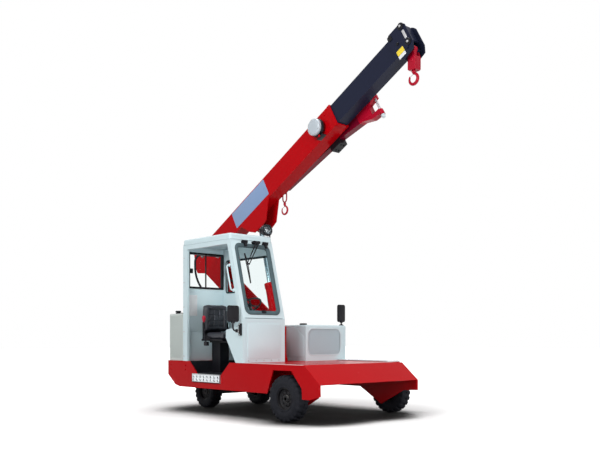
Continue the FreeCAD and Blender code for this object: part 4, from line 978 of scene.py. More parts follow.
def add_wiper():
    """Screen hinges, the wiper's motor, its two arms and the blade."""
    wiper = Maker(PLASTIC, SCREEN)
    for y in (-0.82, -0.45):
        wiper.plate("YZ", (y - 0.050, y + 0.050, 1.078, 1.112), 0.010, 0.0, 0.022)
        wiper.rod((0.026, y - 0.044, 1.108), (0.026, y + 0.044, 1.108), 0.014, sides=20)
        wiper.prism("YZ", [(y - 0.022, 1.090), (y + 0.022, 1.090), (y + 0.014, 1.030),
                           (y - 0.014, 1.030)], 0.012, 0.032, bevel=0.004)
        wiper.lathe([(0.0, 0.0), (0.0, 0.017), (0.014, 0.019), (0.020, 0.014), (0.021, 0.0)],
                    (0.028, y, 1.042), (1, 0, 0), sides=20)
    wiper.plate("YZ", (-0.686, -0.560, 1.080, 1.118), 0.012, 0.0, 0.050, bevel=0.004)
    for y, cap in ((-0.645, [(0.0, 0.0), (0.0, 0.020), (0.016, 0.018), (0.020, 0.0)]),
                   (-0.595, [(0.0, 0.0), (0.0, 0.014), (0.012, 0.012), (0.015, 0.0)])):
        wiper.lathe(cap, (0.044, y, 1.092), (1, 0, 0), sides=20)
    for start, end in (((0.056, -0.645, 1.092), (0.034, -0.850, 0.775)),
                       ((0.054, -0.595, 1.092), (0.036, -0.818, 0.765))):
        start, end = Vector(start), Vector(end)
        wiper.tube([start, start.lerp(end, 0.3), start.lerp(end, 0.7), end],
                   [0.0075, 0.006, 0.0048, 0.0045], sides=8, squash=1.6)
    wiper.block((0.028, -0.856, 0.759), (0.042, -0.812, 0.783), 0.003)
    wiper.tube(smooth_line([(0.020, -0.852, 0.930), (0.029, -0.846, 0.840), (0.032, -0.840, 0.745),
                            (0.027, -0.835, 0.640), (0.016, -0.830, 0.500)], 5), 0.006, sides=8)
    wiper.prism("YZ", [(-0.856, 0.930), (-0.848, 0.930), (-0.826, 0.500), (-0.834, 0.500)], 0.002,
                0.018, bevel=0.001)
    wiper.finish("wiper_and_hinges", "vehicle", replaces=["wiper"])


# ---------------------------------------------------------------- cab outside
def add_cab_trim():
    """Raised front panel, drip rail, grab handle, seams and flange bolts."""
    trim = Maker(WHITE)
    trim.plate("YZ", (-0.975, -0.392, 0.785, 1.262), 0.03, -0.841, -0.8345, bevel=0.003)
    trim.block((-0.8405, -1.020, 0.735), (-0.8365, -1.014, 1.322), 0.001)
    trim.tube(smooth_line([(-1.138, -1.055, 2.062), (-1.136, -1.094, 2.055), (-1.126, -1.106, 2.025),
                           (-1.086, -1.107, 1.890), (-1.050, -1.106, 1.760), (-1.043, -1.094, 1.722),
                           (-1.041, -1.055, 1.716)], 6), 0.0105, sides=14)
    for z, x in ((2.062, -1.138), (1.716, -1.041)):
        trim.lathe([(0.0, 0.0), (0.0, 0.024), (0.005, 0.023), (0.008, 0.013), (0.008, 0.0)],
                   (x, -1.0565, z), (0, -1, 0), sides=24)
    roof_front = CAB_FRONT_X - (2.42 - CAB_SILL_Z) * math.tan(RAKE)
    edge = rectangle(-2.263, roof_front + 0.004, -1.060, -0.307)
    trim.band("XY", rounded(edge, 0.032), [(0.0, 0.0), (0.005, 0.002), (0.006, 0.010), (0.0, 0.013),
                                           (-0.006, 0.010), (-0.006, 0.0)], level=2.424)
    trim.block((roof_front - 0.085, -0.62, 2.508), (roof_front - 0.035, -0.318, 2.515), 0.002)
    trim.finish("cab_trim", "vehicle")

    bolts = Maker(STEEL)
    for way, radius, first, count, step in (
            ((1, 0, 0), 0.007, (-0.8400, -0.96, 0.760), 5, (0, 0.135, 0)),
            ((0, -1, 0), 0.008, (-2.235, -1.0572, 0.80), 5, (0, 0, 0.36)),
            ((-1, 0, 0), 0.008, (-2.2603, -0.98, 0.78), 5, (0, 0.145, 0)),
            ((0, 1, 0), 0.008, (-2.10, -0.3098, 0.78), 7, (0.19, 0, 0))):
        bolts.add_mesh(grid_of(hex_bolt(STEEL, way, radius, first), count, 1, step))
    bolts.finish("cab_bolts", "vehicle")


def add_work_lamp():
    """A round lamp: bowl, rim, reflector, domed lens and its yoke on the roof."""
    x, y, z = -1.136, -0.37, 2.603
    lamp = Maker(PLASTIC)
    lamp.lathe([(0.0, 0.064), (0.004, 0.070), (0.002, 0.082), (-0.012, 0.0848), (-0.022, 0.081),
                (-0.045, 0.074), (-0.075, 0.058), (-0.100, 0.040), (-0.108, 0.026), (-0.110, 0.0),
                (-0.104, 0.0), (-0.070, 0.048), (-0.022, 0.064)], (x, y, z), (1, 0, 0), sides=56,
               closed=False)
    lamp.lathe([(-0.010, 0.0), (-0.010, 0.014), (-0.026, 0.014), (-0.026, 0.0)], (x - 0.108, y, z),
               (1, 0, 0), sides=20)
    fin = Maker(PLASTIC).block((-0.098, -0.0015, 0.046), (-0.050, 0.0015, 0.070), 0.0005)
    fin.bend(lambda place: Vector((place.y, place.x, place.z)))
    turned = Matrix.Translation((x, y, z)) @ Matrix.Rotation(math.pi / 2, 4, "Z")
    lamp.add_mesh(ring_of(fin, 16, place=turned @ Matrix.Rotation(math.pi, 4, "Z")))
    for side in (-1, 1):
        lamp.block((x - 0.070, y + side * 0.082 - 0.004, z - 0.100),
                   (x - 0.046, y + side * 0.082 + 0.004, z + 0.012), 0.0015)
        lamp.rod((x - 0.058, y + side * 0.076, z), (x - 0.058, y + side * 0.094, z), 0.011, sides=18)
    lamp.block((x - 0.070, y - 0.086, z - 0.098), (x - 0.046, y + 0.086, z - 0.090), 0.0015)
    lamp.use(REFLECTOR).lathe([(-0.004, 0.0625), (-0.030, 0.056), (-0.055, 0.040), (-0.068, 0.020),
                               (-0.071, 0.0), (-0.073, 0.0), (-0.070, 0.022), (-0.057, 0.043),
                               (-0.032, 0.059), (-0.004, 0.0645)], (x, y, z), (1, 0, 0), sides=48,
                              closed=False)
    lamp.lathe([(-0.070, 0.012), (-0.045, 0.010), (-0.038, 0.004), (-0.037, 0.0), (-0.070, 0.0)],
               (x, y, z), (1, 0, 0), sides=16, closed=False)
    lamp.use(LENS).lathe([(0.001, 0.0632), (0.003, 0.050), (0.0055, 0.028), (0.006, 0.0), (0.003, 0.0),
                          (0.0025, 0.028), (0.000, 0.050), (-0.003, 0.0632)], (x - 0.004, y, z),
                         (1, 0, 0), sides=48, closed=False)
    lamp.finish("round_work_lamp", "vehicle", replaces=["work_lamp"])


def mirror_head(maker, x, y0, y1, z0, z1):
    """A rounded shell with a crowned back towards the front and a silvered face to the rear."""
    y, z = (y0 + y1) / 2, (z0 + z1) / 2
    half_y, half_z = (y1 - y0) / 2, (z1 - z0) / 2
    maker.use(PLASTIC)
    for share, start, end in ((1.0, -0.012, 0.004), (0.93, 0.002, 0.010), (0.80, 0.008, 0.0135)):
        maker.plate("YZ", (y - half_y * share, y + half_y * share, z - half_z * share,
                           z + half_z * share), 0.030 * share, x + start, x + end, 0.0035)
    maker.use(MIRROR).plate("YZ", (y - half_y + 0.012, y + half_y - 0.012, z - half_z + 0.012,
                                   z + half_z - 0.012), 0.020, x - 0.0135, x - 0.011, 0.0008)
    maker.use(PLASTIC)


def add_mirrors():
    """The mirror on the cab's right with its bracket, and the one on the hood's corner."""
    right = Maker(PLASTIC)
    mirror_head(right, -0.88, -1.283, -1.091, 1.28, 1.50)
    right.tube(smooth_line([(-0.880, -1.055, 1.160), (-0.880, -1.110, 1.158), (-0.880, -1.165, 1.166),
                            (-0.880, -1.190, 1.200), (-0.882, -1.192, 1.290)], 6), 0.011, sides=14)
    right.block((-0.900, -1.214, 1.262), (-0.862, -1.170, 1.312), 0.004)
    right.block((-0.898, -1.140, 1.140), (-0.862, -1.096, 1.186), 0.004)
    right.block((-0.905, -1.082, 1.100), (-0.855, -1.0575, 1.262), 0.006)
    right.use(STEEL).bolts((0, -1, 0), 0.006, [(-0.880, -1.082, z) for z in (1.112, 1.250)])
    right.bolts((1, 0, 0), 0.006, [(-0.8618, -1.118, 1.152), (-0.8618, -1.118, 1.174)])
    right.finish("right_mirror", "vehicle", replaces=["mirror_right"])

    left = Maker(PLASTIC)
    mirror_head(left, -0.955, 0.855, 1.015, 1.308, 1.573)
    left.rod((-0.955, 0.935, 1.262), (-0.955, 0.935, 1.330), 0.011, sides=14)
    left.lathe([(0.0, 0.0), (0.0, 0.034), (0.010, 0.033), (0.016, 0.016), (0.026, 0.013), (0.026, 0.0)],
               (-0.955, 0.935, 1.2575), (0, 0, 1), sides=28)
    left.block((-0.972, 0.917, 1.296), (-0.938, 0.953, 1.336), 0.004)
    left.finish("left_mirror", "vehicle", replaces=["mirror_left"])


# ---------------------------------------------------------------- cab inside
PAD_FACE, PAD_PRESSURE, PAD_FRAMES = 0.006, 4.0, 14


def padded_block(axes, low, high, crown, name):
    """A pad as a rounded box, swollen by cloth simulation."""
    low, high = Vector(low), Vector(high)
    size = high - low
    shell = bmesh.new()
    bmesh.ops.create_cube(shell, size=1.0, matrix=Matrix.Translation((low + high) / 2)
                          @ Matrix.Diagonal((*size, 1)))
    bmesh.ops.bevel(shell, geom=shell.edges[:], offset=min(size) * 0.28, segments=3, profile=0.5,
                    affect="EDGES")
    mesh = bpy.data.meshes.new(name)
    shell.to_mesh(mesh)
    shell.free()
    mesh.transform(axes)
    pad = bpy.data.objects.new(name, mesh)
    bpy.context.collection.objects.link(pad)
    remesh = pad.modifiers.new("even_faces", "REMESH")
    remesh.mode = "VOXEL"
    remesh.voxel_size = PAD_FACE
    bake(pad)
    swell(pad, crown)
    return pad


def bake(pad):
    """Makes the modifiers' result the pad's own mesh."""
    view = bpy.context.evaluated_depsgraph_get()
    mesh = bpy.data.meshes.new_from_object(pad.evaluated_get(view), depsgraph=view)
    pad.modifiers.clear()
    old = pad.data
    pad.data = mesh
    bpy.data.meshes.remove(old)


def swell(pad, most):
    """Blows the pad up as cloth with a little pressure, and caps how far any point may go."""
    start = [vert.co.copy() for vert in pad.data.vertices]
    cloth = pad.modifiers.new("stuffing", "CLOTH")
    cloth.settings.use_pressure = True
    cloth.settings.uniform_pressure_force = PAD_PRESSURE
    cloth.settings.effector_weights.gravity = 0.0
    cloth.settings.quality = 4
    cloth.collision_settings.use_collision = False
    scene = bpy.context.scene
    for number in range(1, PAD_FRAMES + 1):
        scene.frame_set(number)
    bake(pad)
    for vert, place in zip(pad.data.vertices, start):
        move = vert.co - place
        if move.length > most:
            vert.co = place + move.normalized() * most
    scene.frame_set(1)


def channel(distance, width, depth):
    """How far a sewn channel pulls the cover in at a distance from its seam."""
    return depth * math.exp(-(distance / width) ** 2)


def sewn_depth(u, v, wide, tall, deepest):
    """How far the seams of three by three sewn squares pull the cover in at a point."""
    if abs(u) >= wide + 0.02 or abs(v) >= tall + 0.02:
        return 0.0
    lines = [line for place, half in ((u, wide), (v, tall))
             for line in (place + half, place - half, place + half / 3, place - half / 3)]
    return max(channel(line, 0.006, deepest) for line in lines)


def stitched(pad, name, rule, body, replaces):
    """Pulls the seams in by a rule, smooths the pad and hands it over."""
    for vert in pad.data.vertices:
        vert.co += rule(vert.co)
    smooth = pad.modifiers.new("smooth", "SUBSURF")
    smooth.levels = smooth.render_levels = 1
    bake(pad)
    pad.data.shade_smooth()
    pad.data.materials.clear()
    pad.data.materials.append(VINYL)
    pad.name = name
    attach(pad, body)
    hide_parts(*replaces)


def add_seat():
    """Cushion and backrest with sewn squares inside rolled bolsters, pan, slides and lever."""
    low, high = [end - MACHINE.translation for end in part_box("seat_cushion")]
    cushion = padded_block(MACHINE, low + Vector((0.006, 0.006, 0.001)),
                           high - Vector((0.006, 0.006, 0.008)), 0.008, "cushion_form")
    middle_x, middle_y = (low.x + high.x) / 2, (low.y + high.y) / 2
    top_z = high.z
    half_x, half_y = 0.135, 0.140

    def pull_cushion(place):
        here = MACHINE.inverted() @ place
        if here.z < top_z - 0.040:
            return Vector((0, 0, 0))
        x, y = here.x - middle_x, here.y - middle_y
        depth = sewn_depth(x, y, half_x, half_y, 0.008)
        rim = max(abs(x) / 0.205, abs(y) / 0.215)
        return Vector((0, 0, -depth - (0.006 if rim < 0.66 else 0.0)))

    stitched(cushion, "quilted_cushion", pull_cushion, "vehicle", ["seat_cushion"])

    low, high = [end - MACHINE.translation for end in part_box("seat_backrest")]
    back = padded_block(MACHINE, low + Vector((0.002, 0.008, 0.006)),
                        high - Vector((0.012, 0.008, 0.008)), 0.008, "backrest_form")
    face_x, back_y, back_z = high.x, (low.y + high.y) / 2, (low.z + high.z) / 2 + 0.005
    wide, tall = 0.135, 0.125

    def pull_back(place):
        here = MACHINE.inverted() @ place
        y, z = here.y - back_y, here.z - back_z
        corner_pull = max(0.0, abs(y) - 0.12) * max(0.0, z - 0.10) * 2.2
        side = Vector((0, -math.copysign(corner_pull, y), -corner_pull * 0.6))
        if here.x < face_x - 0.045:
            return side
        depth = sewn_depth(y, z, wide, tall, 0.010)
        rim = max(abs(y) / 0.205, abs(z) / 0.195)
        return side + Vector((-depth - (0.012 if rim < 0.68 else 0.0), 0, 0))

    stitched(back, "quilted_backrest", pull_back, "vehicle", ["seat_backrest"])

    parts = Maker(BLACK)
    for y in (-0.80, -0.56):
        parts.block((-1.93, y - 0.016, 1.000), (-1.50, y + 0.016, 1.026), 0.003)
        parts.block((-1.90, y - 0.010, 1.018), (-1.48, y + 0.010, 1.034), 0.002)
    parts.block((-1.905, -0.905, 1.036), (-1.515, -0.455, 1.050), 0.004)
    parts.tube(smooth_line([(-1.50, -0.80, 1.012), (-1.455, -0.79, 1.008), (-1.450, -0.68, 1.006),
                            (-1.455, -0.57, 1.008), (-1.50, -0.56, 1.012)], 5), 0.007, sides=10)
    for y in (-0.895, -0.465):
        parts.prism("XZ", [(-1.995, 1.03), (-1.80, 1.03), (-1.80, 1.075), (-1.93, 1.12), (-1.955, 1.30),
                           (-1.995, 1.30)], y - 0.004, y + 0.004, bevel=0.002)
        parts.rod((-1.93, y - 0.012, 1.075), (-1.93, y + 0.012, 1.075), 0.020, sides=24)
    parts.use(PLASTIC).tube(smooth_line([(-1.86, -0.925, 0.98), (-1.868, -0.940, 1.06),
                                         (-1.874, -0.950, 1.16), (-1.880, -0.955, 1.30)], 6),
                            [0.012] * 6 + [0.010] * 13, sides=14)
    parts.block((-1.900, -0.945, 0.955), (-1.820, -0.905, 1.015), 0.006)
    parts.use(PLASTIC_RED).lathe([(0.0, 0.0), (0.0, 0.012), (0.018, 0.020), (0.045, 0.026),
                                  (0.075, 0.025), (0.092, 0.016), (0.098, 0.0)],
                                 (-1.880, -0.955, 1.295), (0, 0, 1), sides=28)
    parts.finish("seat_slides_and_lever", "vehicle")


def add_console():
    """Steering column with its boot, the wheel with its grips and knob, dash with dials and levers."""
    hub = Vector((-1.17, -0.68, 1.52))
    tilt = math.radians(35)
    way = Vector((-math.sin(tilt), 0, math.cos(tilt)))
    turned = MACHINE @ Matrix.Translation(hub) @ Matrix.Rotation(-tilt, 4, "Y")
    wheel = Maker(PLASTIC, turned)
    ring = [(0.170 * math.cos(math.tau * step / 64), 0.170 * math.sin(math.tau * step / 64), 0.0)
            for step in range(64)]
    wheel.tube(ring, [0.0125 - 0.0012 * (step % 4 == 0) for step in range(64)], sides=14, closed=True)
    for turn in (math.pi / 2, math.pi * 7 / 6, math.pi * 11 / 6):
        a, b = math.cos(turn), math.sin(turn)
        wheel.tube(smooth_line([(0.024 * a, 0.024 * b, 0.004), (0.080 * a, 0.080 * b, -0.004),
                                (0.130 * a, 0.130 * b, -0.003), (0.166 * a, 0.166 * b, 0.0)], 4),
                   [0.013] * 5 + [0.010] * 8, sides=12)
    wheel.lathe([(-0.012, 0.0), (-0.012, 0.030), (0.010, 0.040), (0.018, 0.036), (0.024, 0.022),
                 (0.026, 0.0)], (0, 0, 0), (0, 0, 1), sides=40)
    wheel.rod((-0.120, 0.120, 0.008), (-0.120, 0.120, 0.030), 0.008, sides=16)
    wheel.lathe([(0.028, 0.0), (0.028, 0.012), (0.040, 0.021), (0.056, 0.021), (0.066, 0.012),
                 (0.068, 0.0)], (-0.120, 0.120, 0), (0, 0, 1), sides=24)
    wheel.finish("steering_wheel_grips", "vehicle", replaces=["steering_wheel"])

    console = Maker(PLASTIC)
    foot = hub - way * 0.33
    console.rod(foot, hub - way * 0.012, 0.021, sides=28)
    console.lathe([(0.0, 0.0), (0.0, 0.055), (0.02, 0.058), (0.035, 0.046), (0.05, 0.050),
                   (0.065, 0.038), (0.08, 0.041), (0.095, 0.030), (0.11, 0.032), (0.125, 0.0215),
                   (0.125, 0.0)], foot + way * 0.03, way, sides=36)
    stand = -0.97
    console.prism("XZ", [(stand, 0.556), (stand, 1.262), (stand - 0.105, 1.214), (stand - 0.128, 1.03),
                         (stand - 0.088, 0.556)], -0.79, -0.57, bevel=0.008)
    console.prism("XZ", [(stand, 1.225), (stand, 1.272), (stand - 0.118, 1.216),
                         (stand - 0.118, 1.180)], -0.985, -0.375, bevel=0.006)
    slope = Vector((0.110, 0, 0.051)).normalized()
    up = Vector((-slope.z, 0, slope.x))
    for y, radius in ((-0.87, 0.034), (-0.78, 0.026), (-0.50, 0.026)):
        spot = Vector((stand - 0.060, y, 1.2455))
        console.use(PLASTIC).lathe([(0.0, 0.0), (0.0, radius), (0.006, radius), (0.007, radius - 0.003),
                                    (0.003, radius - 0.005), (0.003, 0.0)], spot, up, sides=32)
        console.use(LABEL_WHITE).lathe([(0.0032, 0.0), (0.0032, radius - 0.006), (0.0036, 0.0)], spot,
                                       up, sides=28)
        console.use(PLASTIC_RED).block(spot + up * 0.004 - Vector((0.0008, 0.001, 0)),
                                       spot + up * 0.005 + slope * radius * 0.6, 0.0002)
    for number in range(4):
        y = -0.46 + number * 0.028
        base = Vector((stand - 0.075, y, 1.236))
        console.use(STEEL).rod(base, base + up * 0.085 - slope * 0.01, 0.0045, sides=12)
        console.use(PLASTIC_RED if number % 2 else PLASTIC).lathe(
            [(0.0, 0.0), (0.0, 0.006), (0.010, 0.011), (0.022, 0.0125), (0.032, 0.009), (0.035, 0.0)],
            base + up * 0.080 - slope * 0.01, up, sides=20, closed=False)
        console.use(PLASTIC).lathe([(0.0, 0.0), (0.0, 0.012), (0.008, 0.009), (0.014, 0.005),
                                    (0.014, 0.0)], base, up, sides=18)
    for y in (-0.80, -0.60):
        console.use(BLACK).block((stand - 0.16, y - 0.035, 0.600), (stand - 0.10, y + 0.035, 0.612),
                                 0.002, turn=Matrix.Rotation(math.radians(-38), 4, "Y"))
        console.rod((stand - 0.13, y, 0.605), (stand - 0.06, y, 0.66), 0.007, sides=12)
    console.finish("dash_and_column", "vehicle", replaces=["steering_console"])


def add_cab_lining():
    """Rear wall panels and blank plate, roof lining, and the floor mat with its ribs."""
    lining = Maker(WHITE)
    lining.block((-2.225, -1.018, 0.745), (-2.2195, -0.35, 1.150), 0.002)
    lining.block((-2.225, -1.018, 1.156), (-2.2205, -0.35, 1.765), 0.002)
    lining.use(LABEL_WHITE).plate("YZ", (-1.005, -0.835, 1.395, 1.705), 0.006, -2.2206, -2.2175,
                                  bevel=0.0006)
    lining.use(STEEL).bolts((1, 0, 0), 0.004, [(-2.2176, y, z) for y in (-0.995, -0.845)
                                               for z in (1.405, 1.695)])
    lining.use(WHITE).block((-2.215, -1.020, 2.412), (-1.15, -0.348, 2.4195), 0.002)
    lining.finish("cab_lining", "vehicle")
    mat = Maker(MAT_RUBBER)
    mat.block((-2.136, -1.030, 0.5535), (-0.975, -0.356, 0.559), 0.002)
    rib = Maker(MAT_RUBBER).block((-2.110, -1.0, 0.558), (-0.990, -0.994, 0.5612), 0.001)
    mat.add_mesh(grid_of(rib, 24, 1, (0, 0.026, 0)))
    mat.finish("ribbed_floor_mat", "vehicle")


# ---------------------------------------------------------------- power unit
def add_hood_details():
    """Mesh in the rounded grille mouth, its frame, filler cap, hinges, latch, pressings and slats."""
    front = -0.910
    mouth = rounded(rectangle(0.20, 0.87, 0.82, 1.20), 0.095, 8)
    hood = Maker(MESH_GREY)
    hood.plate("YZ", (0.202, 0.868, 0.822, 1.198), 0.058, front - 0.020, front - 0.016, 0.0)
    strand = Maker(MESH_GREY)
    strand.block((front - 0.0065, 0.2052, 0.823), (front - 0.0040, 0.2068, 1.197), 0.0)
    hood.add_mesh(grid_of(strand, 66, 1, (0, 0.01, 0)))
    strand = Maker(MESH_GREY)
    strand.block((front - 0.0050, 0.203, 0.8282), (front - 0.0025, 0.867, 0.8298), 0.0)
    hood.add_mesh(grid_of(strand, 37, 1, (0, 0, 0.01)))
    hood.band("YZ", mouth, [(0.017, 0.0), (0.015, 0.004), (-0.002, 0.004), (-0.004, -0.003),
                            (0.017, -0.003)], level=front)
    hood.finish("grille_mesh", "vehicle", replaces=["hood_grille"])

    fittings = Maker(PLASTIC)
    fittings.lathe([(1.256, 0.0), (1.256, 0.050), (1.262, 0.052), (1.276, 0.052), (1.282, 0.046),
                    (1.284, 0.0)], (-1.05, 0.235, 0), (0, 0, 1), sides=36)
    grip = Maker(PLASTIC).block((-0.004, -0.002, -0.010), (0.004, 0.002, 0.010), 0.0008)
    grip.bend(lambda place: Vector((place.x, place.z, place.y + 0.052)))
    upright = Matrix.Translation((-1.05, 0.235, 1.269)) @ Matrix.Rotation(math.pi / 2, 4, "X")
    fittings.add_mesh(ring_of(grip, 18, place=upright))
    for x in (-1.25, -2.25):
        fittings.block((x - 0.05, 0.976, 1.10), (x + 0.05, 0.990, 1.135), 0.003)
        fittings.rod((x - 0.055, 0.986, 1.118), (x + 0.055, 0.986, 1.118), 0.008, sides=16)
    fittings.plate("XZ", (-1.80, -1.68, 0.86, 0.92), 0.012, 0.978, 0.992, bevel=0.003)
    fittings.finish("hood_fittings", "vehicle")

    shell = Maker(WHITE)
    shell.prism("XZ", rounded([(-0.945, 0.790), (-0.945, 1.085), (-1.120, 1.205), (-1.420, 1.205),
                               (-1.420, 0.790)], 0.022), 0.1512, 0.1555, bevel=0.002)
    shell.plate("XZ", (-2.52, -1.02, 0.79, 1.20), 0.025, 0.9798, 0.984, bevel=0.002)
    shell.plate("YZ", (0.20, 0.93, 0.79, 1.20), 0.025, -2.6035, -2.5995, bevel=0.002)
    shell.block((-0.9085, 0.930, 0.735), (-0.9050, 0.934, 1.235), 0.0008)
    shell.finish("hood_pressings", "vehicle")
    slats = Maker(BLACK)
    slat = Maker(BLACK).block((-2.44, 0.9838, 0.905), (-1.95, 0.9915, 0.912), 0.0015)
    slats.add_mesh(grid_of(slat, 1, 12, (0, 0, 0), (0, 0, 0.02)))
    slats.finish("hood_side_slats", "vehicle")


def add_tank_details():
    """Fine upright ribs and lid edge of the tank, its filler cap and the hose's collars."""
    tank = Maker(TANK_GREY)
    rib = Maker(TANK_GREY).block((-2.630, -1.0435, 0.770), (-2.6235, -1.0398, 1.400), 0.0008)
    tank.add_mesh(grid_of(rib, 24, 1, (0.0127, 0, 0)))
    rib = Maker(TANK_GREY).block((-2.6585, -1.010, 0.770), (-2.6548, -1.0035, 1.400), 0.0008)
    tank.add_mesh(grid_of(rib, 48, 1, (0, 0.0127, 0)))
    tank.band("XY", rounded(rectangle(-2.655, -2.305, -1.040, -0.360), 0.02),
              [(0.0, 0.0), (0.0026, 0.001), (0.003, 0.009), (0.0, 0.010)], level=1.395)
    tank.finish("tank_ribs", "vehicle")
    cap = Maker(PLASTIC)
    x, y, z = -2.505, -0.980, 1.43
    cap.lathe([(0.0, 0.0), (0.0, 0.038), (0.010, 0.037), (0.012, 0.030), (0.018, 0.030), (0.019, 0.041),
               (0.040, 0.041), (0.045, 0.036), (0.045, 0.0)], (x, y, z), (0, 0, 1), sides=40)
    grip = Maker(PLASTIC).block((-0.0025, -0.009, 0.0385), (0.0025, 0.009, 0.0418), 0.0006)
    upright = Matrix.Translation((x, y, z + 0.030)) @ Matrix.Rotation(math.pi / 2, 4, "X")
    cap.add_mesh(ring_of(grip, 20, place=upright))
    cap.tube(smooth_line([(x + 0.042, y, z + 0.006), (x + 0.075, y + 0.01, z + 0.010),
                          (x + 0.110, y + 0.015, z + 0.006)], 5), 0.005, sides=8)
    cap.finish("tank_filler_cap", "vehicle", replaces=["tank_cap"])
    collars = Maker(STEEL)
    for start, end in (((-2.615, -0.400, 1.430), (-2.615, -0.400, 1.478)),
                       ((-2.615, -0.150, 2.360), (-2.615, -0.198, 2.360))):
        start, end = Vector(start), Vector(end)
        way = (end - start).normalized()
        collars.rod(start, start + way * 0.020, 0.028, sides=6, bevel=0.002)
        collars.rod(start + way * 0.020, end, 0.0225, sides=24)
        collars.lathe([(0.0, 0.019), (0.0, 0.0235), (0.006, 0.0235), (0.006, 0.019)],
                      start + way * 0.040, way, sides=24)
    collars.finish("hose_collars", "vehicle")


# ---------------------------------------------------------------- deck and skirts
def add_step_plate():
    """The bright step: a plate whose holes have raised rims, its folded edge and rivets."""
    right, out = -1.057, -1.079
    rear, front, low, high = -2.0035, -1.330, 0.435, 0.553
    step = Maker(ALU)
    edge = [(0.0, 0.0), (0.0, 0.004), (-0.006, 0.004), (-0.008, 0.0)]
    step.band("XZ", rounded(rectangle(rear, front, low, high), 0.004, 3), edge, level=out)
    step.block((rear, out - 0.0005, high - 0.003), (front, right, high + 0.0015), 0.001)
    pitch = (front - rear) / 8
    rim = Maker(ALU)
    rim.lathe([(0.0, 0.0155), (0.0, 0.0215), (-0.002, 0.0205), (-0.0052, 0.0175), (-0.0052, 0.0150),
               (0.0, 0.0140), (0.010, 0.0140), (0.010, 0.0152)],
              (rear + pitch / 2, out, low + 0.036), (0, 1, 0), sides=32)
    step.add_mesh(grid_of(rim, 8, 2, (pitch, 0, 0), (0, 0, 0.046)))
    dot = Maker(ALU).lathe([(0.0, 0.0), (0.0, 0.0045), (-0.0018, 0.0032), (-0.0024, 0.0)],
                           (rear + pitch, out, low + 0.059), (0, 1, 0), sides=14)
    step.add_mesh(grid_of(dot, 7, 1, (pitch, 0, 0)))
    step.use(STEEL).bolts((0, -1, 0), 0.005, [(x, out, low + 0.012)
                                              for x in (rear + 0.012, front - 0.012)])
    step.finish("dimpled_step", "vehicle")
    backing = Maker(ALU)
    backing.block((rear + 0.006, right - 0.0035, low + 0.006),
                  (front - 0.006, right - 0.0005, high - 0.010), 0.001)
    backing.finish("step_backing", "vehicle")


def add_fender_tread():
    """Raised oval bars at right angles on the tread plate, and its turned-down scalloped edge."""
    rear, front, near, far, top = -0.898, 0.100, 0.790, 1.051, 0.744
    tread = Maker(ALU)
    tread.block((rear + 0.001, near + 0.001, 0.7301), (front - 0.001, far - 0.001, top - 0.0008), 0.002)
    for angle, x, y, columns, rows in ((45, rear + 0.030, near + 0.024, 24, 6),
                                       (-45, rear + 0.050, near + 0.044, 23, 5)):
        bar = Maker(ALU)
        bar.plate("XY", (-0.013, 0.013, -0.0035, 0.0035), 0.0034, top - 0.001, top + 0.0016,
                  bevel=0.0008, steps=3)
        turn = Matrix.Rotation(math.radians(angle), 4, "Z")
        bar.bend(lambda place: turn @ place + Vector((x, y, 0)))
        tread.add_mesh(grid_of(bar, columns, rows, (0.04, 0, 0), (0, 0.04, 0)))
    tooth = Maker(ALU).lathe([(0.0, 0.0), (0.0, 0.0125), (0.008, 0.0115), (0.010, 0.0)],
                             (rear + 0.016, far - 0.014, top - 0.005), (0, 0, 1), sides=20)
    tread.add_mesh(grid_of(tooth, 31, 1, (0.0321, 0, 0)))
    tread.use(STEEL).bolts((0, 0, 1), 0.006, [(x, y, top) for x in (rear + 0.02, -0.40, front - 0.02)
                                              for y in (near + 0.010, far - 0.034)])
    tread.finish("fender_tread_bars", "vehicle", replaces=["fender_tread"])


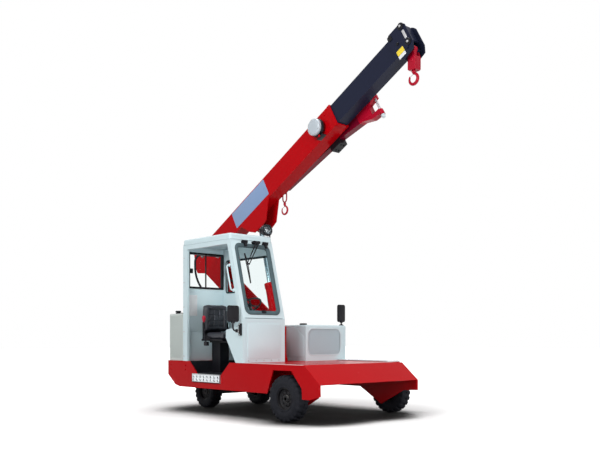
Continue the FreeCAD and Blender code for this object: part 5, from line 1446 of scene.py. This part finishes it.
def add_deck_details():
    """The bright edge strip on the deck, weld beads, skirt bolts, tow socket and tail lamps."""
    strip = Maker(ALU)
    strip.prism("XY", [(-0.835, -1.056), (0.345, -1.056), (0.345, -1.046), (-0.835, -1.020)], 0.7302,
                0.7345, bevel=0.0012)
    rivet = Maker(ALU).lathe([(0.0, 0.0), (0.0, 0.0045), (0.0022, 0.003), (0.003, 0.0)],
                             (-0.80, -1.046, 0.7343), (0, 0, 1), sides=12)
    strip.add_mesh(grid_of(rivet, 12, 1, (0.1, 0, 0)))
    strip.finish("deck_edge_strip", "vehicle")

    beads = Maker(RED)
    for y in (-0.1515, 0.1515):
        beads.rod((-1.93, y, 0.730), (-1.34, y, 0.730), 0.006, sides=10)
    beads.rod((0.352, -1.035, 0.7295), (0.352, 0.76, 0.7295), 0.004, sides=10)
    beads.rod((-0.835, -1.0400, 0.7295), (-0.835, 0.76, 0.7295), 0.0035, sides=10)
    for side in (-1, 1):
        beads.rod((-2.655, side * 1.0545, 0.7288), (-2.30, side * 1.0545, 0.7288), 0.0035, sides=10)
    for side, places in ((-1, (-2.58, -2.20)), (1, (-2.58, -2.20, -0.95))):
        beads.bolts((0, side, 0), 0.009, [(x, side * 1.0568, z) for x in places for z in (0.665, 0.60)])
    beads.finish("deck_welds_and_bolts", "vehicle")

    socket = Maker(CAST)
    socket.lathe([(0.0, 0.0), (0.0, 0.055), (0.012, 0.052), (0.012, 0.034), (0.040, 0.030),
                  (0.046, 0.018), (0.046, 0.0)], (TAIL_X, 0, 0.62), (-1, 0, 0), sides=36)
    socket.bolts((-1, 0, 0), 0.008, [(TAIL_X, y, z) for y in (-0.08, 0.08) for z in (0.56, 0.68)])
    socket.finish("chassis_bolts_and_tow_socket", "vehicle")

    lamps = Maker(PLASTIC)
    for side in (-1, 1):
        y = side * 0.86
        lamps.plate("YZ", (y - 0.085, y + 0.085, 0.560, 0.640), 0.014, -2.6755, TAIL_X, bevel=0.003)
        lamps.use(PLASTIC_RED).plate("YZ", (y - 0.076, y - 0.002, 0.568, 0.632), 0.010, -2.6815,
                                     -2.6740, bevel=0.003)
        lamps.use(LENS).plate("YZ", (y + 0.004, y + 0.076, 0.568, 0.632), 0.010, -2.6815, -2.6740,
                              bevel=0.003)
        lamps.use(PLASTIC)
    lamps.finish("tail_lamps", "vehicle")


# ---------------------------------------------------------------- mast
def add_mast_details():
    """Caps over the pivot and base pins, and the hoses between the plates."""
    caps = Maker(CAST)
    for side in (-1, 1):
        caps.lathe([(0.0, 0.0), (0.0, 0.052), (0.010, 0.050), (0.014, 0.040), (0.014, 0.0)],
                   (PIVOT_X, side * MAST_SIDE, PIVOT_Z), (0, side, 0), sides=36)
        nut = hex_bolt(CAST, (0, side, 0), 0.009, at=(0, 0, 0.034))
        caps.add_mesh(ring_of(nut, 4, 0.6, Matrix.Translation((PIVOT_X, side * 0.164, PIVOT_Z))))
        caps.lathe([(0.0, 0.0), (0.0, 0.046), (0.010, 0.044), (0.013, 0.0)],
                   (-1.222, side * MAST_SIDE, 0.62), (0, side, 0), sides=32)
    caps.finish("mast_pin_caps", "vehicle")

    hoses = Maker(MAT_RUBBER)
    for y, sag in ((-0.085, 0.0), (-0.050, 0.05), (0.062, 0.02)):
        hoses.tube(smooth_line([(-1.62, y, 0.90), (-1.68, y, 1.16 - sag),
                                (-1.86, y * 1.05, 1.42 - sag), (-2.08, y, 1.62 - sag * 0.5),
                                (-2.32, y * 0.9, 1.82), (-2.56, y * 0.8, 2.00)], 6), 0.011, sides=12)
    hoses.finish("mast_hoses", "vehicle")


# ---------------------------------------------------------------- boom
def add_boom_details():
    """Blank side panels, nose collar, wear-pad screws and weld beads."""
    panels = Maker(PANEL_BLUE, BOOM)
    for out in (-1, 1):
        face = out * BOOM_SIDE - 0.0004 * out
        panels.plate("XZ", (0.917, 1.797, -0.117, 0.150), 0.012, face, face + out * 0.0026,
                     bevel=0.0008)
    panels.finish("blank_side_panels", "boom")

    section = rounded(rectangle(-BOOM_SIDE, BOOM_SIDE, -BOOM_TOP, BOOM_TOP), 0.006, 3)
    collar = Maker(RED, BOOM)
    collar.band("YZ", section,
                [(0.0, 0.0), (0.006, 0.001), (0.006, 0.050), (0.0, 0.051), (-0.0005, 0.050),
                 (-0.0005, 0.001)], level=3.352)
    collar.band("YZ", section,
                [(0.0, 0.0), (0.0035, 0.001), (0.0035, 0.029), (0.0, 0.030), (-0.0005, 0.029),
                 (-0.0005, 0.001)], level=0.62)
    for edge_y in (-0.108, 0.108):
        for edge_n in (-0.1605, 0.1605):
            collar.rod((-0.20, edge_y, edge_n), (3.34, edge_y, edge_n), 0.0032, sides=8)
    for y in (-1, 1):
        collar.prism("XZ", rounded([(-0.10, -0.10), (0.34, -0.12), (0.34, 0.05), (-0.10, 0.09)], 0.03),
                     y * BOOM_SIDE, y * 0.1145, bevel=0.0015)
    collar.finish("boom_collar_and_welds", "boom")

    screws = Maker(RED, BOOM)
    for out in (-1, 1):
        screws.bolts((0, out, 0), 0.0085, [(s, out * BOOM_SIDE, n) for s in (3.19, 3.27)
                                           for n in (-0.10, 0.0, 0.10)])
    screws.bolts((0, 0, 1), 0.0085, [(s, y, BOOM_TOP) for s in (3.20, 3.28)
                                     for y in (-0.06, 0.0, 0.06)])
    screws.finish("wear_pad_screws", "boom")


def add_inner_boom_details():
    """Edge beads on the inner boom."""
    beads = Maker(NAVY, BOOM)
    for y in (-0.0915, 0.0915):
        for n in (-0.1440, 0.1440):
            beads.rod((1.0, y, n), (4.60, y, n), 0.0026, sides=8)
    beads.finish("inner_boom_welds", "telescope")


def add_head_details():
    """Bosses with their pin ends, light slot and blank signs on the head's cheeks."""
    head = Maker(BLACK, BOOM)
    for out in (-1, 1):
        face = out * CHEEK
        for (s, n), radius in ((HEAD_PINS[0], 0.046), (HEAD_PINS[1], 0.046), ((4.70, -0.020), 0.020)):
            head.lathe([(0.0, 0.0), (0.0, radius), (0.010, radius - 0.001), (0.014, radius - 0.006),
                        (0.014, radius * 0.62), (0.018, radius * 0.56), (0.018, 0.0)],
                       (s, face, n), (0, out, 0), sides=40)
        head.plate("XZ", (4.61, 4.67, 0.095, 0.165), 0.012, face, face + out * 0.010, bevel=0.002)
    head.finish("head_bosses", "telescope")
    signs = Maker(LABEL_YELLOW, BOOM)
    for out in (-1, 1):
        face = out * 0.1175
        yellow = rounded([(4.632, -0.095), (4.748, -0.095), (4.748, -0.165), (4.632, -0.165)], 0.006)
        signs.use(LABEL_YELLOW).prism("XZ", yellow, face, face + out * 0.002, 0.0006)
        signs.use(LABEL_WHITE).plate("XZ", (4.632, 4.748, -0.215, -0.169), 0.006, face,
                                     face + out * 0.002, bevel=0.0006)
    signs.finish("blank_signs", "telescope")
    fixings = Maker(STEEL, BOOM)
    for out in (-1, 1):
        face = out * CHEEK
        fixings.plate("XZ", (4.822, 4.858, -0.052, 0.076), 0.010, face - out * 0.0005,
                      face + out * 0.004, bevel=0.001)
        fixings.bolts((0, out, 0), 0.012, [(s, face + out * 0.018, n) for s, n in HEAD_PINS])
    fixings.finish("head_pin_ends", "telescope")


# ---------------------------------------------------------------- hooks
def eased_hook(maker, x, y, z, ring_r, thick, stem, latch):
    """A forged hook: a round bar that thickens in the bowl and thins to the point, with a latch.

    latch holds the radii of the latch's bar, from its pin to its end.
    """
    middle_z = z - stem - ring_r
    bar_r = ring_r - thick / 2
    path, radii = [(x, y, z + 0.001), (x, y, z - stem * 0.5)], [thick * 0.46, thick * 0.46]
    count = 30
    for step in range(count + 1):
        turn = math.radians(88 - 292 * step / count)
        path.append((x + bar_r * math.cos(turn), y, middle_z + bar_r * math.sin(turn)))
        share = step / count
        radii.append(thick * (0.44 + 0.12 * math.sin(math.pi * step / count) - 0.16 * share ** 3))
    tip = Vector(path[-1])
    path.append(tuple(tip + Vector((-0.10 * thick, 0, 0.35 * thick))))
    radii.append(thick * 0.14)
    maker.tube(path, radii, sides=18)
    maker.lathe([(0.0, 0.0), (0.0, thick * 0.62), (0.3 * thick, thick * 0.70),
                 (0.55 * thick, thick * 0.60), (0.6 * thick, 0.0)], (x, y, z - 0.5 * thick), (0, 0, 1),
                sides=28)
    latch_top = Vector((x + 0.10 * ring_r, y, middle_z + ring_r * 0.80))
    latch_end = Vector((x - bar_r * 0.90, y, middle_z + bar_r * 0.52))
    sag = Vector((0, 0, -latch[-1]))
    maker.use(STEEL).tube([latch_top, latch_top.lerp(latch_end, 0.5) + sag, latch_end], latch, sides=10)


def add_main_hook():
    """The block's side plates, pin and swivel, and the hook with its latch."""
    block = Maker(RED_HOOK)
    x, top, bottom = 1.2142, 4.590, 4.360
    for side in (-1, 1):
        block.prism("XZ", rounded([(x - 0.050, bottom + 0.012), (x - 0.030, bottom),
                                   (x + 0.048, bottom), (x + 0.068, bottom + 0.012),
                                   (x + 0.068, top - 0.07), (x + 0.040, top), (x - 0.022, top),
                                   (x - 0.050, top - 0.07)], 0.008), side * 0.046, side * 0.055,
                    bevel=0.002)
        block.lathe([(0.0, 0.0), (0.0, 0.028), (0.002, 0.028), (0.004, 0.024), (0.004, 0.0)],
                    (x + 0.009, side * 0.0525, 4.485), (0, side, 0), sides=28)
    block.block((x - 0.046, -0.047, bottom + 0.004), (x + 0.064, 0.047, top - 0.060), 0.004)
    block.block((x - 0.030, -0.030, top - 0.065), (x + 0.030, 0.030, 4.6295), 0.004)
    block.lathe([(-0.030, 0.0210), (-0.030, 0.040), (-0.026, 0.042), (0.026, 0.042), (0.030, 0.040),
                 (0.030, 0.0210)], (x, 0, 4.6295), (0, 1, 0), sides=40)
    block.use(CAST).bolts((0, 1, 0), 0.012, [(x + 0.009, 0.041, 4.485)])
    block.finish("hook_block_plates", "hoist_hook", replaces=["hook_block"])
    hook = Maker(RED_HOOK)
    eased_hook(hook, x, 0, bottom, 0.084, 0.038, 0.014, (0.006, 0.005, 0.004))
    hook.finish("forged_hook", "hoist_hook", replaces=["hook"])


def add_small_hook():
    """The small hook on its shackle link and swivel."""
    x, y, z = MACHINE.inverted() @ BOOM @ Vector((1.845, 0.190, -0.060))
    hook = Maker(RED_HOOK)
    link = [(x, z + 0.004), (x + 0.026, z - 0.004), (x + 0.041, z - 0.045), (x + 0.041, z - 0.125),
            (x + 0.020, z - 0.160), (x, z - 0.163), (x - 0.020, z - 0.160), (x - 0.041, z - 0.125),
            (x - 0.041, z - 0.045), (x - 0.026, z - 0.004)]
    ring = smooth_line([(u, y, v) for u, v in link + link[:1]], 4)[:-1]
    hook.tube(ring, 0.0098, sides=14, closed=True)
    hook.lathe([(-0.0098, 0.0105), (-0.0098, 0.0265), (-0.007, 0.028), (0.007, 0.028), (0.0098, 0.0265),
                (0.0098, 0.0105)], (x, y, z), (0, 1, 0), sides=32)
    hook.lathe([(0.0, 0.0), (0.0, 0.017), (0.006, 0.0195), (0.024, 0.0195), (0.030, 0.016),
                (0.034, 0.0)], (x, y, z - 0.204), (0, 0, 1), sides=28)
    eased_hook(hook, x, y, z - 0.200, 0.075, 0.027, 0.010, (0.0045, 0.004, 0.003))
    hook.finish("small_forged_hook", "small_hook", replaces=["jib_hook"])


# ---------------------------------------------------------------- stowed jib
def add_jib_details():
    """Edge beads, the fork's collars and bright pin, the tail pin's bolts and the clamp's screws."""
    near, far, middle_y, fork_s = 0.140, 0.240, 0.190, 3.908
    jib = Maker(JIB, BOOM)
    for y in (near + 0.0012, far - 0.0012):
        jib.rod((1.905, y, -0.0870), (3.105, y, -0.1668), 0.0032, sides=8)
        jib.rod((1.905, y, 0.0370), (3.575, y, 0.0070), 0.0032, sides=8)
    for n_low, n_high in ((-0.107, -0.037), (-0.367, -0.297)):
        jib.lathe([(n_low - 0.004, 0.0135), (n_low - 0.004, 0.030), (n_low + 0.004, 0.034),
                   (n_high - 0.004, 0.034), (n_high + 0.004, 0.030), (n_high + 0.004, 0.0135)],
                  (fork_s, middle_y, 0), (0, 0, 1), sides=32)
    for y, out in ((near, -1), (far, 1)):
        jib.prism("XZ", rounded([(3.60, -0.030), (3.78, -0.045), (3.78, -0.285), (3.70, -0.270),
                                 (3.60, -0.200)], 0.02), y - out * 0.001, y + out * 0.004,
                  bevel=0.0015)
    jib.finish("jib_edges_and_collars", "boom")
    bright = Maker(BRIGHT_PIN, BOOM)
    bright.rod((fork_s, middle_y, -0.396), (fork_s, middle_y, -0.055), 0.0150, sides=28)
    bright.rod((fork_s, middle_y, -0.424), (fork_s, middle_y, -0.392), 0.024, sides=6)
    bright.lathe([(-0.392, 0.0140), (-0.392, 0.030), (-0.384, 0.030), (-0.384, 0.0140)],
                 (fork_s, middle_y, 0), (0, 0, 1), sides=28)
    bright.rod((fork_s, middle_y, -0.034), (fork_s, middle_y, -0.016), 0.022, sides=6)
    bright.finish("jib_fork_pin", "boom")
    pins = Maker(STEEL, BOOM)
    for out in (-1, 1):
        pins.bolts((0, out, 0), 0.009, [(1.845, middle_y + out * 0.0232, -0.060)])
    pins.use(BLACK).bolts((0, 0, -1), 0.010, [(s, y, -0.250) for s in (3.02, 3.13)
                                              for y in (0.165, 0.215)])
    pins.bolts((0, 1, 0), 0.010, [(s, 0.252, n) for s in (3.02, 3.13) for n in (-0.215, 0.050)])
    pins.finish("jib_bolts", "boom")


# ---------------------------------------------------------------- cable reel and lift cylinder
def add_reel():
    """The cable reel: domed grey cover, dark ring behind it, cable turns, guide and bracket."""
    s = 3.108
    reel = Maker(REEL_GREY, BOOM)
    reel.lathe([(-0.250, 0.0), (-0.2496, 0.040), (-0.2485, 0.070), (-0.2450, 0.092), (-0.2400, 0.106),
                (-0.2330, 0.1140), (-0.2250, 0.1166), (-0.2000, 0.1168), (-0.1900, 0.112),
                (-0.1900, 0.0)], (s, 0, 0), (0, 1, 0), sides=72)
    bolt = hex_bolt(STEEL, (0, -1, 0), 0.0055, at=(0, -0.2445, 0.096))
    reel.use(STEEL).add_mesh(ring_of(bolt, 8, 0.2, Matrix.Translation((s, 0, 0))))
    reel.use(PLASTIC).lathe([(-0.192, 0.0), (-0.192, 0.1200), (-0.186, 0.1230), (-0.150, 0.1230),
                             (-0.146, 0.114), (-0.136, 0.110), (-0.134, 0.0)], (s, 0, 0), (0, 1, 0),
                            sides=64)
    for turn in range(5):
        along = -0.1345 + turn * 0.0042
        reel.lathe([(along, 0.0), (along, 0.044), (along + 0.002, 0.0449), (along + 0.004, 0.044),
                    (along + 0.004, 0.0)], (s, 0, 0), (0, 1, 0), sides=36)
    reel.use(BLACK).block((s - 0.030, -0.160, -0.160), (s + 0.030, -0.152, -0.020), 0.003)
    reel.block((s - 0.060, -0.190, -0.166), (s + 0.060, -0.1105, -0.152), 0.003)
    reel.rod((s, -0.135, -0.150), (s, -0.135, -0.138), 0.016, sides=20)
    reel.use(RED).block((s - 0.016, -0.198, -0.164), (s + 0.016, -0.186, -0.132), 0.004)
    reel.finish("cable_reel_cover", "boom", replaces=["cable_reel"])


def add_lift_details():
    """Gland nut, base collar, ports and pipe of the lift cylinder."""
    barrel = Maker(RED, LIFT)
    barrel.lathe([(1.232, 0.0755), (1.232, 0.0825), (1.238, 0.0835), (1.292, 0.0835), (1.300, 0.078),
                  (1.300, 0.0365), (1.294, 0.0365), (1.294, 0.0755)], (0, 0, 0), (1, 0, 0), sides=48)
    barrel.lathe([(0.085, 0.0750), (0.085, 0.0800), (0.150, 0.0800), (0.156, 0.0750)], (0, 0, 0),
                 (1, 0, 0), sides=48)
    barrel.finish("barrel_gland", "cylinder_barrel")
    pipes = Maker(STEEL, LIFT)
    for along in (0.20, 1.20):
        pipes.rod((along, 0, 0.072), (along, 0, 0.094), 0.014, sides=6)
        pipes.rod((along, 0, 0.092), (along, 0, 0.102), 0.010, sides=16)
    pipes.tube(smooth_line([(1.20, 0, 0.097), (1.12, 0.010, 0.100), (0.95, 0.014, 0.098),
                            (0.45, 0.014, 0.098), (0.27, 0.010, 0.100), (0.205, 0.0, 0.097)], 6),
               0.0055, sides=10)
    pipes.finish("cylinder_pipe", "cylinder_barrel")


# ---------------------------------------------------------------- the whole machine
set_camera()
set_light()
add_floor()
finish_cad_nodes()
add_wheels()
add_axle_details()
add_window_seals()
add_wiper()
add_cab_trim()
add_work_lamp()
add_mirrors()
add_seat()
add_console()
add_cab_lining()
add_hood_details()
add_tank_details()
add_step_plate()
add_fender_tread()
add_deck_details()
add_mast_details()
add_boom_details()
add_inner_boom_details()
add_head_details()
add_main_hook()
add_small_hook()
add_jib_details()
add_reel()
add_lift_details()
